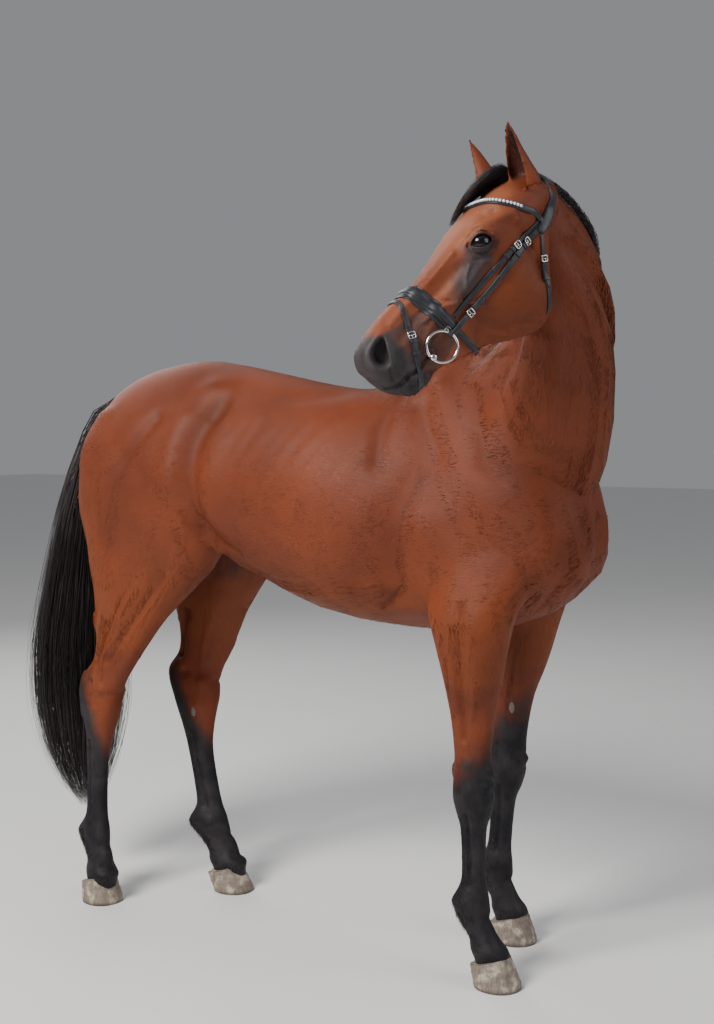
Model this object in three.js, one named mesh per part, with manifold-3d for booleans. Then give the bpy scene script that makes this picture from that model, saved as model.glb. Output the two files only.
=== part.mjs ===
// A life-size bay horse standing square with its head turned back over its right side, wearing a
// snaffle bridle without reins. Millimetres, +Z up; the horse faces +X and its left side is +Y.
import * as THREE from "three";
import Module from "manifold-3d";

const wasm = await Module();
wasm.setup();

// ---------------------------------------------------------------- driving sizes
const GAP = 0.4; // clearance between touching nodes
const TRUNK_SIDES = 20;
const NECK_SIDES = 14;
const LEG_SIDES = 10;
const HOOF_SIDES = 12;
const ROUNDING = 5; // how far the body's facets may stray from its sections

// Trunk sections across X: [x, top, bottom, height of widest level, half width, top shape, bottom shape].
// A shape of 2 is an ellipse; less is more peaked and more is boxier.
const TRUNK = [
  [-790, 1470, 1330, 1400, 60, 2, 2],
  [-750, 1545, 1240, 1390, 130, 2, 2],
  [-680, 1590, 1160, 1370, 195, 2, 2],
  [-580, 1628, 1120, 1350, 240, 1.9, 2],
  [-430, 1650, 1095, 1330, 262, 1.8, 2],
  [-300, 1636, 1080, 1310, 262, 1.8, 2.1],
  [-160, 1608, 1000, 1290, 262, 2, 2.2],
  [0, 1575, 935, 1255, 282, 2.1, 2.2],
  [140, 1556, 905, 1225, 290, 2.1, 2.2],
  [270, 1572, 892, 1210, 272, 1.8, 2.1],
  [380, 1640, 888, 1210, 245, 1.5, 2],
  [470, 1662, 890, 1215, 228, 1.45, 2],
  [580, 1640, 905, 1220, 215, 1.55, 2],
  [680, 1560, 940, 1215, 205, 1.8, 2],
  [755, 1440, 980, 1200, 180, 2, 2],
  [812, 1320, 1040, 1180, 130, 2, 2],
  [840, 1240, 1100, 1170, 65, 2, 2],
];

// Muscle and bone that stand out of the trunk: [x, y of the left one, z, radii along X, Y and Z].
const LUMPS = [
  [708, 128, 1150, 100, 74, 125], // point of the shoulder
];

// The neck as a bent run of steps: [length of the step that ends here, heading from straight ahead,
// slope above the level, crest half depth, throat half depth, half width, crest shape, throat shape].
const NECK_START = [538, 0, 1330];
const NECK = [
  [0, 0, 46, 330, 300, 195, 1.5, 2.1],
  [125, -5, 49, 290, 268, 178, 1.5, 2.1],
  [125, -14, 52, 245, 230, 156, 1.5, 2.1],
  [120, -28, 55, 205, 188, 128, 1.6, 2.1],
  [120, -47, 57, 168, 165, 108, 1.7, 2.1],
  [110, -70, 56, 126, 150, 92, 1.8, 2.1],
  [100, -92, 51, 92, 138, 82, 1.9, 2.1],
  [90, -108, 42, 74, 122, 76, 2, 2],
  [65, -120, 32, 64, 104, 70, 2, 2],
  [50, -128, 24, 56, 88, 62, 2, 2],
];

// Head frame: the poll, then the way the nose points.
const POLL = new THREE.Vector3(767, -437, 2052);
const HEAD_YAW = -129; // degrees from straight ahead, turned to the right
const HEAD_PITCH = -49.2; // the face's slope under the level
const HEAD_ROLL = 1.2;

// Head sections by distance from the poll. Each lists [height out of the line of the nose, half width]
// from the middle of the face round the side to the middle of the jaw.
const HEAD = [
  [-50, [[-92, 0], [-93, 16], [-97, 30], [-107, 38], [-116, 38], [-126, 34], [-136, 24], [-141, 12], [-142, 0]]],
  [-24, [[-52, 0], [-54, 32], [-64, 58], [-88, 72], [-108, 72], [-130, 66], [-150, 50], [-163, 28], [-166, 0]]],
  [5, [[-32, 0], [-34, 38], [-48, 66], [-75, 82], [-102, 82], [-130, 76], [-155, 62], [-172, 36], [-176, 0]]],
  [45, [[-16, 0], [-19, 44], [-32, 76], [-60, 91], [-92, 90], [-125, 84], [-155, 72], [-178, 42], [-182, 0]]],
  [95, [[-9, 0], [-12, 50], [-24, 84], [-52, 99], [-90, 96], [-130, 90], [-168, 79], [-214, 50], [-208, 0]]],
  [145, [[-5, 0], [-8, 54], [-19, 88], [-48, 103], [-88, 98], [-135, 90], [-190, 78], [-262, 48], [-240, 0]]],
  [195, [[-5, 0], [-8, 52], [-20, 84], [-52, 104], [-88, 94], [-140, 86], [-216, 73], [-300, 44], [-274, 0]]],
  [245, [[-8, 0], [-10, 44], [-22, 66], [-55, 84], [-88, 86], [-140, 80], [-220, 68], [-304, 40], [-278, 0]]],
  [300, [[-13, 0], [-15, 36], [-26, 54], [-56, 66], [-84, 76], [-130, 68], [-198, 55], [-275, 34], [-254, 0]]],
  [355, [[-14, 0], [-16, 30], [-28, 44], [-58, 54], [-84, 64], [-120, 56], [-170, 46], [-236, 32], [-222, 0]]],
  [410, [[-6, 0], [-9, 28], [-22, 40], [-52, 48], [-80, 54], [-110, 50], [-150, 44], [-206, 30], [-198, 0]]],
  [455, [[-1, 0], [-4, 26], [-16, 38], [-45, 48], [-72, 52], [-100, 52], [-138, 46], [-183, 30], [-178, 0]]],
  [500, [[-1, 0], [-4, 26], [-16, 40], [-42, 52], [-68, 56], [-98, 55], [-136, 46], [-182, 28], [-184, 0]]],
  [535, [[-5, 0], [-8, 30], [-20, 46], [-42, 56], [-68, 58], [-100, 54], [-138, 45], [-182, 28], [-186, 0]]],
  [562, [[-18, 0], [-21, 32], [-30, 46], [-48, 56], [-72, 56], [-100, 50], [-132, 41], [-166, 26], [-170, 0]]],
  [584, [[-42, 0], [-44, 26], [-50, 38], [-60, 46], [-76, 46], [-98, 42], [-122, 34], [-142, 20], [-145, 0]]],
  [597, [[-72, 0], [-73, 12], [-76, 19], [-82, 24], [-90, 25], [-98, 22], [-108, 17], [-116, 10], [-117, 0]]],
];
const EYE = { s: 207, side: 84, out: -56, radius: 24 };
const NOSTRIL = { s: 552, side: 55, out: -48, along: 23, across: 13, deep: 20 };

// Ear sections up from its root: [share of the length, half width, depth of the cup, how far round it closes].
const EAR_LENGTH = 158;
const EAR_SEATS = {
  1: { s: 19, side: 71, out: -58, up: [-0.447, 0.205, 0.872], open: [0.92, 0.24, 0.38], bow: -10 },
  "-1": { s: 33, side: -73, out: -45, up: [-0.57, -0.26, 0.8], open: [0.6, -0.8, 0.3], bow: -4 },
};
const EAR = [
  [0, 38, 28, 150],
  [0.15, 39, 30, 138],
  [0.34, 32, 27, 126],
  [0.55, 24, 21, 116],
  [0.75, 17, 15, 108],
  [0.9, 10, 9, 98],
  [1, 4, 3.5, 85],
];

// Leg sections across Z for a left leg: [z, back, front, inner side, outer side, shape].
const FORE = [
  [1200, 520, 770, 40, 190, 2.2],
  [1080, 455, 730, 60, 222, 2.2],
  [1000, 428, 698, 80, 240, 2.2],
  [940, 440, 674, 92, 254, 2.1],
  [870, 458, 658, 102, 247, 2.1],
  [790, 475, 641, 108, 232, 2.1],
  [700, 488, 616, 116, 210, 2.1],
  [620, 496, 606, 120, 202, 2.1],
  [560, 500, 603, 118, 204, 2.3],
  [515, 497, 607, 114, 207, 2.6],
  [478, 497, 607, 115, 207, 2.6],
  [440, 505, 600, 119, 203, 2.4],
  [400, 512, 588, 130, 190, 2.2],
  [330, 515, 585, 134, 186, 2.2],
  [265, 513, 586, 133, 187, 2.2],
  [225, 497, 592, 127, 193, 2.2],
  [190, 491, 597, 126, 194, 2.2],
  [155, 504, 603, 130, 190, 2.2],
  [120, 535, 622, 126, 194, 2.2],
  [92, 542, 646, 116, 204, 2.2],
  [66, 554, 652, 118, 202, 2.2],
  [40, 562, 650, 122, 198, 2.2],
];
const HIND = [
  [1500, -740, -330, 40, 190, 2.1],
  [1400, -790, -265, 30, 235, 2.1],
  [1300, -800, -235, 25, 255, 2.1],
  [1200, -797, -235, 25, 255, 2.1],
  [1120, -780, -255, 35, 250, 2.1],
  [1040, -760, -290, 55, 240, 2.1],
  [960, -738, -370, 75, 228, 2.1],
  [880, -728, -450, 90, 216, 2.1],
  [800, -726, -510, 100, 206, 2.1],
  [730, -745, -560, 108, 200, 2.1],
  [680, -788, -598, 110, 198, 2.2],
  [640, -796, -620, 108, 202, 2.4],
  [590, -790, -632, 108, 202, 2.4],
  [545, -784, -650, 112, 196, 2.4],
  [495, -778, -668, 120, 188, 2.2],
  [430, -773, -686, 126, 184, 2.2],
  [330, -772, -690, 128, 182, 2.2],
  [260, -776, -688, 127, 183, 2.2],
  [220, -800, -680, 121, 189, 2.2],
  [185, -808, -676, 120, 190, 2.2],
  [150, -784, -666, 124, 186, 2.2],
  [118, -764, -656, 120, 190, 2.2],
  [92, -764, -640, 112, 198, 2.2],
  [66, -756, -648, 112, 198, 2.2],
  [40, -750, -652, 116, 194, 2.2],
];

// Each leg: how far its foot is forward and out of the table's, and how far its toe turns out.
const LEGS = {
  fore_right: { table: FORE, hoofForward: 12, side: -1, stride: 0, spread: -20, toeOut: 4, pivot: 1000 },
  fore_left: { table: FORE, hoofForward: 12, side: 1, stride: -98, spread: 18, toeOut: 4, pivot: 1000 },
  hind_right: { table: HIND, hoofForward: 2, side: -1, stride: 0, spread: 10, toeOut: 15, pivot: 1150 },
  hind_left: { table: HIND, hoofForward: 2, side: 1, stride: 288, spread: -35, toeOut: 12, pivot: 1150 },
};
const LEG_CUTS = { fore: [870, 545, 240], hind: [1030, 700, 240] };

// Hoof: [height at the toe, height at the heel, length, width, how far the middle is behind the sole's].
const HOOF = [
  [0, 0, 126, 118, 0],
  [14, 10, 124, 117, -2],
  [74, 46, 106, 102, -20],
];

// Tail of hair: [z, middle x, half length, half width].
const TAIL = [
  [1560, -752, 26, 30],
  [1520, -784, 42, 44],
  [1450, -824, 56, 56],
  [1300, -872, 82, 76],
  [1150, -906, 98, 90],
  [950, -930, 122, 108],
  [750, -948, 152, 128],
  [550, -945, 172, 138],
  [400, -938, 152, 124],
  [270, -918, 78, 66],
  [215, -900, 16, 14],
];

// ---------------------------------------------------------------- making shapes
const vec = (x, y, z) => new THREE.Vector3(x, y, z);
const radians = THREE.MathUtils.degToRad;
const smooth = (t) => THREE.MathUtils.smoothstep(t, 0, 1);
const range = (count) => Array.from({ length: count }, (_, i) => i);
const UP = vec(0, 0, 1);

// A closed solid from points and triangles, turned the right way out.
function solid(points, faces) {
  const made = new wasm.Manifold(
    new wasm.Mesh({
      numProp: 3,
      vertProperties: new Float32Array(points.flatMap((p) => p.toArray())),
      triVerts: new Uint32Array(faces.flat()),
    }),
  );
  return made.volume() > 0 ? made : solid(points, faces.map(([a, b, c]) => [a, c, b]));
}

// The side faces between rings that have the same number of points.
function skinFaces(ringCount, sides, closed = false) {
  const last = closed ? ringCount : ringCount - 1;
  return range(last).flatMap((r) =>
    range(sides).flatMap((i) => {
      const next = ((r + 1) % ringCount) * sides;
      const [a, b] = [r * sides + i, r * sides + ((i + 1) % sides)];
      const [c, d] = [next + ((i + 1) % sides), next + i];
      return [[a, b, c], [a, c, d]];
    }),
  );
}

// A closed solid over a row of rings, each end closed to a point in its middle.
function loft(rings) {
  const sides = rings[0].length;
  const points = rings.flat();
  const faces = skinFaces(rings.length, sides);
  [0, rings.length - 1].forEach((r) => {
    const middle = rings[r].reduce((sum, p) => sum.add(p), vec(0, 0, 0)).divideScalar(sides);
    const centre = points.push(middle) - 1;
    range(sides).forEach((i) => {
      const [a, b] = [r * sides + i, r * sides + ((i + 1) % sides)];
      faces.push(r ? [a, b, centre] : [b, a, centre]);
    });
  });
  return solid(points, faces);
}

// A ring of a closed curve with its own reach and shape on each side.
function ring(centre, side, up, { across, above, below, shapeAbove = 2, shapeBelow = 2 }, sides, grow = 0) {
  return range(sides).map((i) => {
    const [c, s] = [Math.cos((2 * Math.PI * i) / sides), Math.sin((2 * Math.PI * i) / sides)];
    const shape = s >= 0 ? shapeAbove : shapeBelow;
    const reach = (value) => Math.sign(value) * Math.abs(value) ** (2 / shape);
    return centre
      .clone()
      .addScaledVector(side, (across + grow) * reach(c))
      .addScaledVector(up, ((s >= 0 ? above : below) + grow) * reach(s));
  });
}

// A ball stretched along three axes that are square to each other.
function ball(centre, axes, radii, sides = 12, rows = 7) {
  const rings = range(rows).map((r) => {
    const lift = -Math.PI / 2 + (Math.PI * (r + 0.5)) / rows;
    const middle = centre.clone().addScaledVector(axes[2], radii[2] * Math.sin(lift));
    const round = { across: radii[0] * Math.cos(lift), above: radii[1] * Math.cos(lift), below: radii[1] * Math.cos(lift) };
    return ring(middle, axes[0], axes[1], round, sides);
  });
  return loft(rings);
}

// A thin flat plate used to part the body.
function plate(centre, normal, reach, thick = GAP) {
  const across = Math.abs(normal.z) < 0.9 ? UP.clone().cross(normal).normalize() : vec(1, 0, 0);
  const along = normal.clone().cross(across);
  const size = { across: reach[0], above: reach[1], below: reach[1], shapeAbove: 8, shapeBelow: 8 };
  return loft([-thick / 2, thick / 2].map((d) => ring(centre.clone().addScaledVector(normal, d), across, along, size, 16)));
}

const mostOf = (body) => body.decompose().sort((a, b) => b.volume() - a.volume())[0].simplify(GAP / 4);
const union = (bodies) => bodies.reduce((sum, body) => sum.add(body));

// ---------------------------------------------------------------- flesh
function trunkSolid() {
  return loft(
    TRUNK.map(([x, top, bottom, level, half, shapeAbove, shapeBelow]) => {
      const size = { across: half, above: top - level, below: level - bottom, shapeAbove, shapeBelow };
      return ring(vec(x, 0, level), vec(0, 1, 0), UP, size, TRUNK_SIDES);
    }),
  );
}

function lumpSolids() {
  const axes = [vec(1, 0, 0), vec(0, 1, 0), UP];
  return LUMPS.flatMap(([x, y, z, ...radii]) => [1, -1].map((side) => ball(vec(x, side * y, z), axes, radii, 10, 5)));
}

// The neck's centres and axes, found by walking its run of steps.
function neckFrames() {
  const at = vec(...NECK_START);
  return NECK.map(([step, heading, slope, ...sizes]) => {
    const [h, e] = [radians(heading), radians(slope)];
    const along = vec(Math.cos(h) * Math.cos(e), Math.sin(h) * Math.cos(e), Math.sin(e));
    const crest = vec(-Math.cos(h) * Math.sin(e), -Math.sin(h) * Math.sin(e), Math.cos(e));
    at.addScaledVector(along, step);
    return { at: at.clone(), along, crest, side: crest.clone().cross(along), sizes };
  });
}

function neckSolid() {
  return loft(
    neckFrames().map(({ at, crest, side, sizes: [above, below, across, shapeAbove, shapeBelow] }) =>
      ring(at, side, crest, { across, above, below, shapeAbove, shapeBelow }, NECK_SIDES),
    ),
  );
}

// The head's own axes: along from poll to muzzle, left, and out of the face.
const [yaw, pitch] = [radians(HEAD_YAW), radians(HEAD_PITCH)];
const ALONG = vec(Math.cos(yaw) * Math.cos(pitch), Math.sin(yaw) * Math.cos(pitch), Math.sin(pitch));
const LEFT = vec(-Math.sin(yaw), Math.cos(yaw), 0).applyAxisAngle(ALONG, radians(HEAD_ROLL));
const OUT = ALONG.clone().cross(LEFT);
const onHead = (s, left, out) =>
  POLL.clone().addScaledVector(ALONG, s).addScaledVector(LEFT, left).addScaledVector(OUT, out);
const headWay = (s, left, out) => onHead(s, left, out).sub(POLL).normalize();

function headSolid() {
  return loft(
    HEAD.map(([s, half]) => {
      const left = half.map(([out, wide]) => onHead(s, wide, out));
      const right = half.slice(1, -1).reverse().map(([out, wide]) => onHead(s, -wide, out));
      return [...left, ...right];
    }),
  );
}

function nostrilSolid(side) {
  const { s, side: half, out, along, across, deep } = NOSTRIL;
  const axes = [headWay(1, 0, -0.35), headWay(0.35, 0, 1), headWay(0, side, 0)];
  return ball(onHead(s, side * half, out), axes, [along, across, deep], 10, 5);
}

// Moves a point of a left leg's table to where the leg stands.
function placeLeg({ table, side, stride, spread, toeOut, pivot }, point) {
  const [, back, front, inner, outer] = table.at(-1);
  const foot = vec((back + front) / 2, (inner + outer) / 2, 0);
  const low = Math.max(0, 1 - point.z / pivot);
  const turn = radians(toeOut) * smooth((1000 - point.z) / 400);
  const moved = point.clone().sub(foot).applyAxisAngle(UP, turn).add(foot);
  return vec(moved.x + stride * low, side * (moved.y + spread * low), moved.z);
}

function legSolid(leg) {
  return loft(
    leg.table.map(([z, back, front, inner, outer, shape]) => {
      const wide = (outer - inner) / 2;
      const size = { across: (front - back) / 2, above: wide, below: wide, shapeAbove: shape, shapeBelow: shape };
      const centre = vec((front + back) / 2, (inner + outer) / 2, z);
      return ring(centre, vec(1, 0, 0), vec(0, 1, 0), size, LEG_SIDES).map((p) => placeLeg(leg, p));
    }),
  );
}

function hoofSolid(leg, grow = 0) {
  const [, back, front, inner, outer] = leg.table.at(-1);
  return loft(
    HOOF.map(([toe, heel, long, wide, shift]) => {
      const tilt = Math.atan2(toe - heel, long);
      const centre = vec((back + front) / 2 + leg.hoofForward + shift, (inner + outer) / 2, (toe + heel) / 2 + (toe ? grow : 0));
      const size = { across: long / 2 / Math.cos(tilt), above: wide / 2, below: wide / 2 };
      return ring(centre, vec(Math.cos(tilt), 0, Math.sin(tilt)), vec(0, 1, 0), size, HOOF_SIDES, grow).map((p) => {
        p.z = Math.max(0, p.z);
        return placeLeg(leg, p);
      });
    }),
  );
}

// An ear: a cup whose rings are a bent strip, closed almost to a tube at its root.
function earSolid(side, grow = 0) {
  const seat = EAR_SEATS[side];
  const root = onHead(seat.s, seat.side, seat.out);
  const up = headWay(...seat.up);
  const open = headWay(...seat.open);
  open.addScaledVector(up, -open.dot(up)).normalize();
  const across = up.clone().cross(open);
  const count = 6;
  const rings = EAR.map(([share, half, deep, close]) => {
    const centre = root.clone().addScaledVector(up, share * EAR_LENGTH).addScaledVector(open, 14 * share * share);
    centre.addScaledVector(across, side * seat.bow * Math.sin(share * Math.PI));
    const strip = (inset) =>
      range(count).map((i) => {
        const a = radians(-close + (2 * close * i) / (count - 1));
        return centre
          .clone()
          .addScaledVector(across, (half - inset) * Math.sin(a))
          .addScaledVector(open, -(deep - inset) * Math.cos(a));
      });
    return [...strip(-grow), ...strip(grow + Math.min(4.5, half * 0.4, deep * 0.45)).reverse()];
  });
  const faces = skinFaces(rings.length, 2 * count);
  const top = (rings.length - 1) * 2 * count;
  range(count - 1).forEach((i) => {
    const [a, b, c, d] = [i, i + 1, 2 * count - 2 - i, 2 * count - 1 - i];
    faces.push([b, a, d], [b, d, c], [top + a, top + b, top + d], [top + b, top + c, top + d]);
  });
  return solid(rings.flat(), faces);
}

function eyeSolid(side, grow = 0) {
  const { s, side: half, out, radius } = EYE;
  const size = radius + grow;
  return ball(onHead(s, side * half, out), [headWay(1, 0, 0), headWay(0, 0, 1), headWay(0, side, 0)], [size, size, size], 10, 5);
}

// ---------------------------------------------------------------- hair
function tailSolid() {
  return loft(
    TAIL.map(([z, x, long, wide]) =>
      ring(vec(x, 0, z), vec(1, 0, 0), vec(0, 1, 0), { across: long, above: wide, below: wide }, 10),
    ),
  );
}

function dockSolid(grow = 0) {
  const rows = [[-640, 1540, 52], [-740, 1545, 44], [-790, 1500, 36], [-832, 1430, 30], [-862, 1340, 24], [-880, 1260, 14]];
  return loft(rows.map(([x, z, half]) =>
    ring(vec(x, 0, z), vec(0, 1, 0), vec(0.7, 0, 0.7), { across: half, above: half * 0.8, below: half * 0.8 }, 8, grow),
  ));
}

// The mane: a strip along the crest that hangs over to the horse's right. Where the neck is bent it twists,
// so that the crest leans to the left by these degrees at each neck section.
const CREST_LEAN = [0, 2, 8, 18, 36, 52, 58, 54, 44, 34];

function maneSolid() {
  const frames = neckFrames().slice(1, -1);
  return loft(
    frames.map(({ at, crest, side, sizes: [above, , half] }, i) => {
      const share = i / (frames.length - 1);
      const fall = 45 + 40 * share;
      const lean = radians(CREST_LEAN[i + 1]);
      const [c, s] = [Math.cos(lean), Math.sin(lean)];
      const out = crest.clone().multiplyScalar(c).addScaledVector(side, s);
      const left = side.clone().multiplyScalar(c).addScaledVector(crest, -s);
      const reach = 1 / Math.hypot(c / above, s / half);
      const top = at.clone().addScaledVector(out, reach + 3);
      const corner = (across, down) => top.clone().addScaledVector(left, across).addScaledVector(out, -down);
      return [corner(16, 24), corner(9, -2), corner(-10, 0), corner(-24, fall * 0.2), corner(-52, fall * 0.62), corner(-38, fall * 0.62), corner(-6, 30)];
    }),
  );
}

// The forelock: a lock from between the ears that lies over the right side of the forehead.
function forelockSolid() {
  const rows = [[14, -4, -18, 26, 12], [24, -8, -6, 34, 16], [50, -20, 2, 38, 16], [90, -38, 5, 34, 14], [125, -56, 1, 28, 11], [158, -70, -8, 13, 6]];
  return loft(rows.map(([s, left, out, wide, thick]) =>
    ring(onHead(s, left, out), headWay(0, 1, 0.35), headWay(0, -0.35, 1), { across: wide, above: thick, below: thick }, 10),
  ));
}

// ---------------------------------------------------------------- bridle
// Straps are given by points on the head, then laid on its surface.

// Where a line from outside to a point inside the head meets its surface.
function touch(from, inside) {
  const way = inside.clone().sub(from).normalize();
  const [hit] = new THREE.Raycaster(from, way).intersectObject(surface);
  return { at: hit.point, normal: hit.face.normal.clone() };
}
const beside = (side, [s, out]) => touch(onHead(s, side * 260, out), onHead(s, 0, out));
const around = (s, tilt, middle, angle) => {
  const [c, d] = [Math.cos(radians(angle)), Math.sin(radians(angle))];
  return touch(onHead(s + tilt * c * 260, d * 260, middle + c * 260), onHead(s, 0, middle));
};

// Surface contacts as a path, with the normals evened out.
function evened(contacts, closed = false) {
  const last = contacts.length - 1;
  const near = (i) => contacts[closed ? (i + contacts.length) % contacts.length : Math.min(Math.max(i, 0), last)];
  return contacts.map(({ at }, i) => {
    const normal = near(i - 1).normal.clone().add(near(i).normal).add(near(i + 1).normal).normalize();
    return { at, normal, along: near(i + 1).at.clone().sub(near(i - 1).at).normalize() };
  });
}

// Points between the given ones, each laid on the surface.
function trail(points, lay, closed = false) {
  const between = points.slice(1).flatMap((next, i) => [
    points[i],
    points[i].map((value, axis) => (value + next[axis]) / 2),
  ]);
  return evened((closed ? between : [...between, points.at(-1)]).map(lay), closed);
}

// A strap of a width and thickness laid on a trail, lifted off the surface.
function strap(path, { width, thick, lift, closed }, grow = 0) {
  const valueAt = (value, k) => (typeof value === "function" ? value(k / (path.length - 1)) : value);
  const rings = path.map(({ at, normal, along }, k) => {
    const across = normal.clone().cross(along).normalize();
    const out = along.clone().cross(across);
    const half = valueAt(width, k) / 2 + grow;
    const [low, high] = [valueAt(lift, k) - grow, valueAt(lift, k) + thick + grow];
    const end = closed ? 0 : (k === path.length - 1) - (k === 0);
    const middle = at.clone().addScaledVector(along, end * grow);
    const corner = (u, h) => middle.clone().addScaledVector(across, u).addScaledVector(out, h);
    return [corner(-half, low), corner(half, low), corner(half * 0.92, high), corner(-half * 0.92, high)];
  });
  return closed ? solid(rings.flat(), skinFaces(rings.length, 4, true)) : loft(rings);
}

// A four-sided wire loop that lies on a strap.
function buckle({ at, normal, along }, width, long, lift, grow = 0) {
  const wire = 3.2;
  const across = normal.clone().cross(along).normalize();
  const way = across.clone().cross(normal);
  const centre = at.clone().addScaledVector(normal, lift + wire / 2);
  const corners = [[1, 0.75], [0.8, 1], [-0.8, 1], [-1, 0.75], [-1, -0.75], [-0.8, -1], [0.8, -1], [1, -0.75]];
  const rings = corners.map(([u, v]) => {
    const outward = across.clone().multiplyScalar((u * width) / 2).addScaledVector(way, (v * long) / 2);
    const spot = centre.clone().add(outward);
    return ring(spot, outward.normalize(), normal, { across: wire / 2, above: wire / 2, below: wire / 2 }, 4, grow);
  });
  return solid(rings.flat(), skinFaces(rings.length, 4, true));
}

// A round wire ring.
function hoop(centre, u, v, radius, wire, count = 18) {
  const normal = u.clone().cross(v);
  const rings = range(count).map((i) => {
    const a = (2 * Math.PI * i) / count;
    const outward = u.clone().multiplyScalar(Math.cos(a)).addScaledVector(v, Math.sin(a));
    const spot = centre.clone().addScaledVector(outward, radius);
    return ring(spot, outward, normal, { across: wire / 2, above: wire / 2, below: wire / 2 }, 5);
  });
  return solid(rings.flat(), skinFaces(count, 5, true));
}

// ---------------------------------------------------------------- the model
const horse = new THREE.Group();
const finish = (color, roughness, metalness = 0) => new THREE.MeshStandardMaterial({ color, roughness, metalness });
const COAT = finish(0x8a4a30, 0.55);
const BLACK_COAT = finish(0x2b2426, 0.6);
const HOOF_HORN = finish(0x80766f, 0.7);
const HAIR = finish(0x1c191d, 0.5);
const EYE_GLASS = finish(0x140d0a, 0.08);
const LEATHER = finish(0x17181b, 0.45);
const STEEL = finish(0xc9c9cc, 0.22, 1);
const STONES = finish(0xdfe6ee, 0.05, 0.3);

function meshOf(body, material) {
  const { vertProperties, triVerts } = body.getMesh();
  const geometry = new THREE.BufferGeometry();
  geometry.setAttribute("position", new THREE.BufferAttribute(new Float32Array(vertProperties), 3));
  geometry.setIndex(new THREE.BufferAttribute(new Uint32Array(triVerts), 1));
  geometry.computeVertexNormals();
  return new THREE.Mesh(geometry, material);
}

// The same body with each of its points moved out a little.
function swollen(body, by) {
  const { geometry } = meshOf(body, COAT);
  const [spots, normals] = ["position", "normal"].map((name) => geometry.getAttribute(name));
  const points = range(spots.count).map((i) =>
    vec(0, 0, 0).fromBufferAttribute(spots, i).addScaledVector(vec(0, 0, 0).fromBufferAttribute(normals, i), by),
  );
  const corners = Array.from(geometry.index.array);
  return solid(points, range(corners.length / 3).map((k) => corners.slice(3 * k, 3 * k + 3)));
}

function addNode(name, body, material) {
  const mesh = meshOf(mostOf(body), material);
  mesh.name = name;
  horse.add(mesh);
}

const sides = { left: 1, right: -1 };
const legs = Object.entries(LEGS);
const trunkAndLegs = union([trunkSolid(), ...lumpSolids(), ...legs.map(([, leg]) => legSolid(leg))]);
const headAndNeck = neckSolid().add(headSolid());
const flesh = trunkAndLegs.simplify(ROUNDING).add(headAndNeck).simplify(ROUNDING / 2);
const grownFlesh = swollen(flesh, 2 * GAP);
const surface = meshOf(flesh, COAT);

// The plates that part the body, and a point inside each part to name it by.
function bodyPlates() {
  const throat = onHead(60, 0, -160);
  return [
    plate(throat, headWay(0.785, 0, 0.62), [165, 190]),
    plate(vec(600, 0, 1430), vec(0.76, 0, 0.65), [300, 430]),
    plate(vec(-300, 0, 1300), vec(1, 0, 0), [420, 420]),
    plate(vec(330, 0, 1250), vec(1, 0, 0), [420, 460]),
    ...legs.flatMap(([name, leg]) => {
      const cuts = LEG_CUTS[name.split("_")[0]];
      return cuts.map((z) => plate(middleOf(leg, z), UP, [z > 1000 ? 290 : 130, z > 1000 ? 120 : 75]));
    }),
  ];
}

function middleOf(leg, z) {
  const below = leg.table.findIndex((row) => row[0] <= z);
  const [high, low] = [leg.table[below - 1], leg.table[below]];
  const t = (high[0] - z) / (high[0] - low[0]);
  const [back, front, inner, outer] = [1, 2, 3, 4].map((k) => high[k] + (low[k] - high[k]) * t);
  return placeLeg(leg, vec((back + front) / 2, (inner + outer) / 2, z));
}

function bodyParts() {
  const names = [
    ["head", onHead(250, 0, -80)],
    ["neck", neckFrames()[4].at],
    ["forequarters", vec(450, 0, 1250)],
    ["barrel", vec(0, 0, 1250)],
    ["hindquarters", vec(-450, 0, 1350)],
  ];
  const parts = { fore: ["forearm", "knee_and_cannon", "pastern"], hind: ["gaskin", "hock_and_cannon", "pastern"] };
  legs.forEach(([name, leg]) => {
    const kind = name.split("_")[0];
    const heights = kind === "fore" ? [700, 400, 120] : [850, 500, 120];
    heights.forEach((z, i) => names.push([`${name}_${parts[kind][i]}`, middleOf(leg, z)]));
  });
  return names;
}

function addFlesh() {
  const taken = union([
    ...bodyPlates(),
    ...legs.map(([, leg]) => hoofSolid(leg, GAP)),
    ...Object.values(sides).flatMap((side) => [eyeSolid(side, GAP), nostrilSolid(side)]),
  ]);
  const pieces = flesh.subtract(taken).decompose().filter((piece) => piece.volume() > 5000);
  bodyParts().forEach(([name, at]) => {
    const probe = ball(at, [vec(1, 0, 0), vec(0, 1, 0), UP], [4, 4, 4], 6, 3);
    const piece = pieces.find((one) => one.intersect(probe).volume() > 1);
    if (!piece) throw new Error(`no flesh at ${name}`);
    addNode(name, piece, /pastern|cannon/.test(name) ? BLACK_COAT : COAT);
  });
}

function addHoovesEyesAndEars() {
  legs.forEach(([name, leg]) => addNode(`${name}_hoof`, hoofSolid(leg), HOOF_HORN));
  Object.entries(sides).forEach(([name, side]) => {
    addNode(`eye_${name}`, eyeSolid(side), EYE_GLASS);
    addNode(`ear_${name}`, earSolid(side).subtract(grownFlesh), COAT);
  });
}

function addHair() {
  addNode("tail_dock", dockSolid().subtract(grownFlesh), COAT);
  addNode("tail_hair", tailSolid().subtract(grownFlesh.add(dockSolid(GAP))), HAIR);
  addNode("mane", maneSolid().subtract(grownFlesh), HAIR);
}

// The browband holds the forelock down, so its tip comes out below as a piece of its own.
function addForelock() {
  const pressed = strap(browPath(), { width: 15, thick: 46, lift: 0 }, GAP);
  const locks = forelockSolid().subtract(laid.add(pressed)).decompose().sort((a, b) => b.volume() - a.volume());
  addNode("forelock", locks[0], HAIR);
  addNode("forelock_tip", locks[1], HAIR);
}

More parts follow.
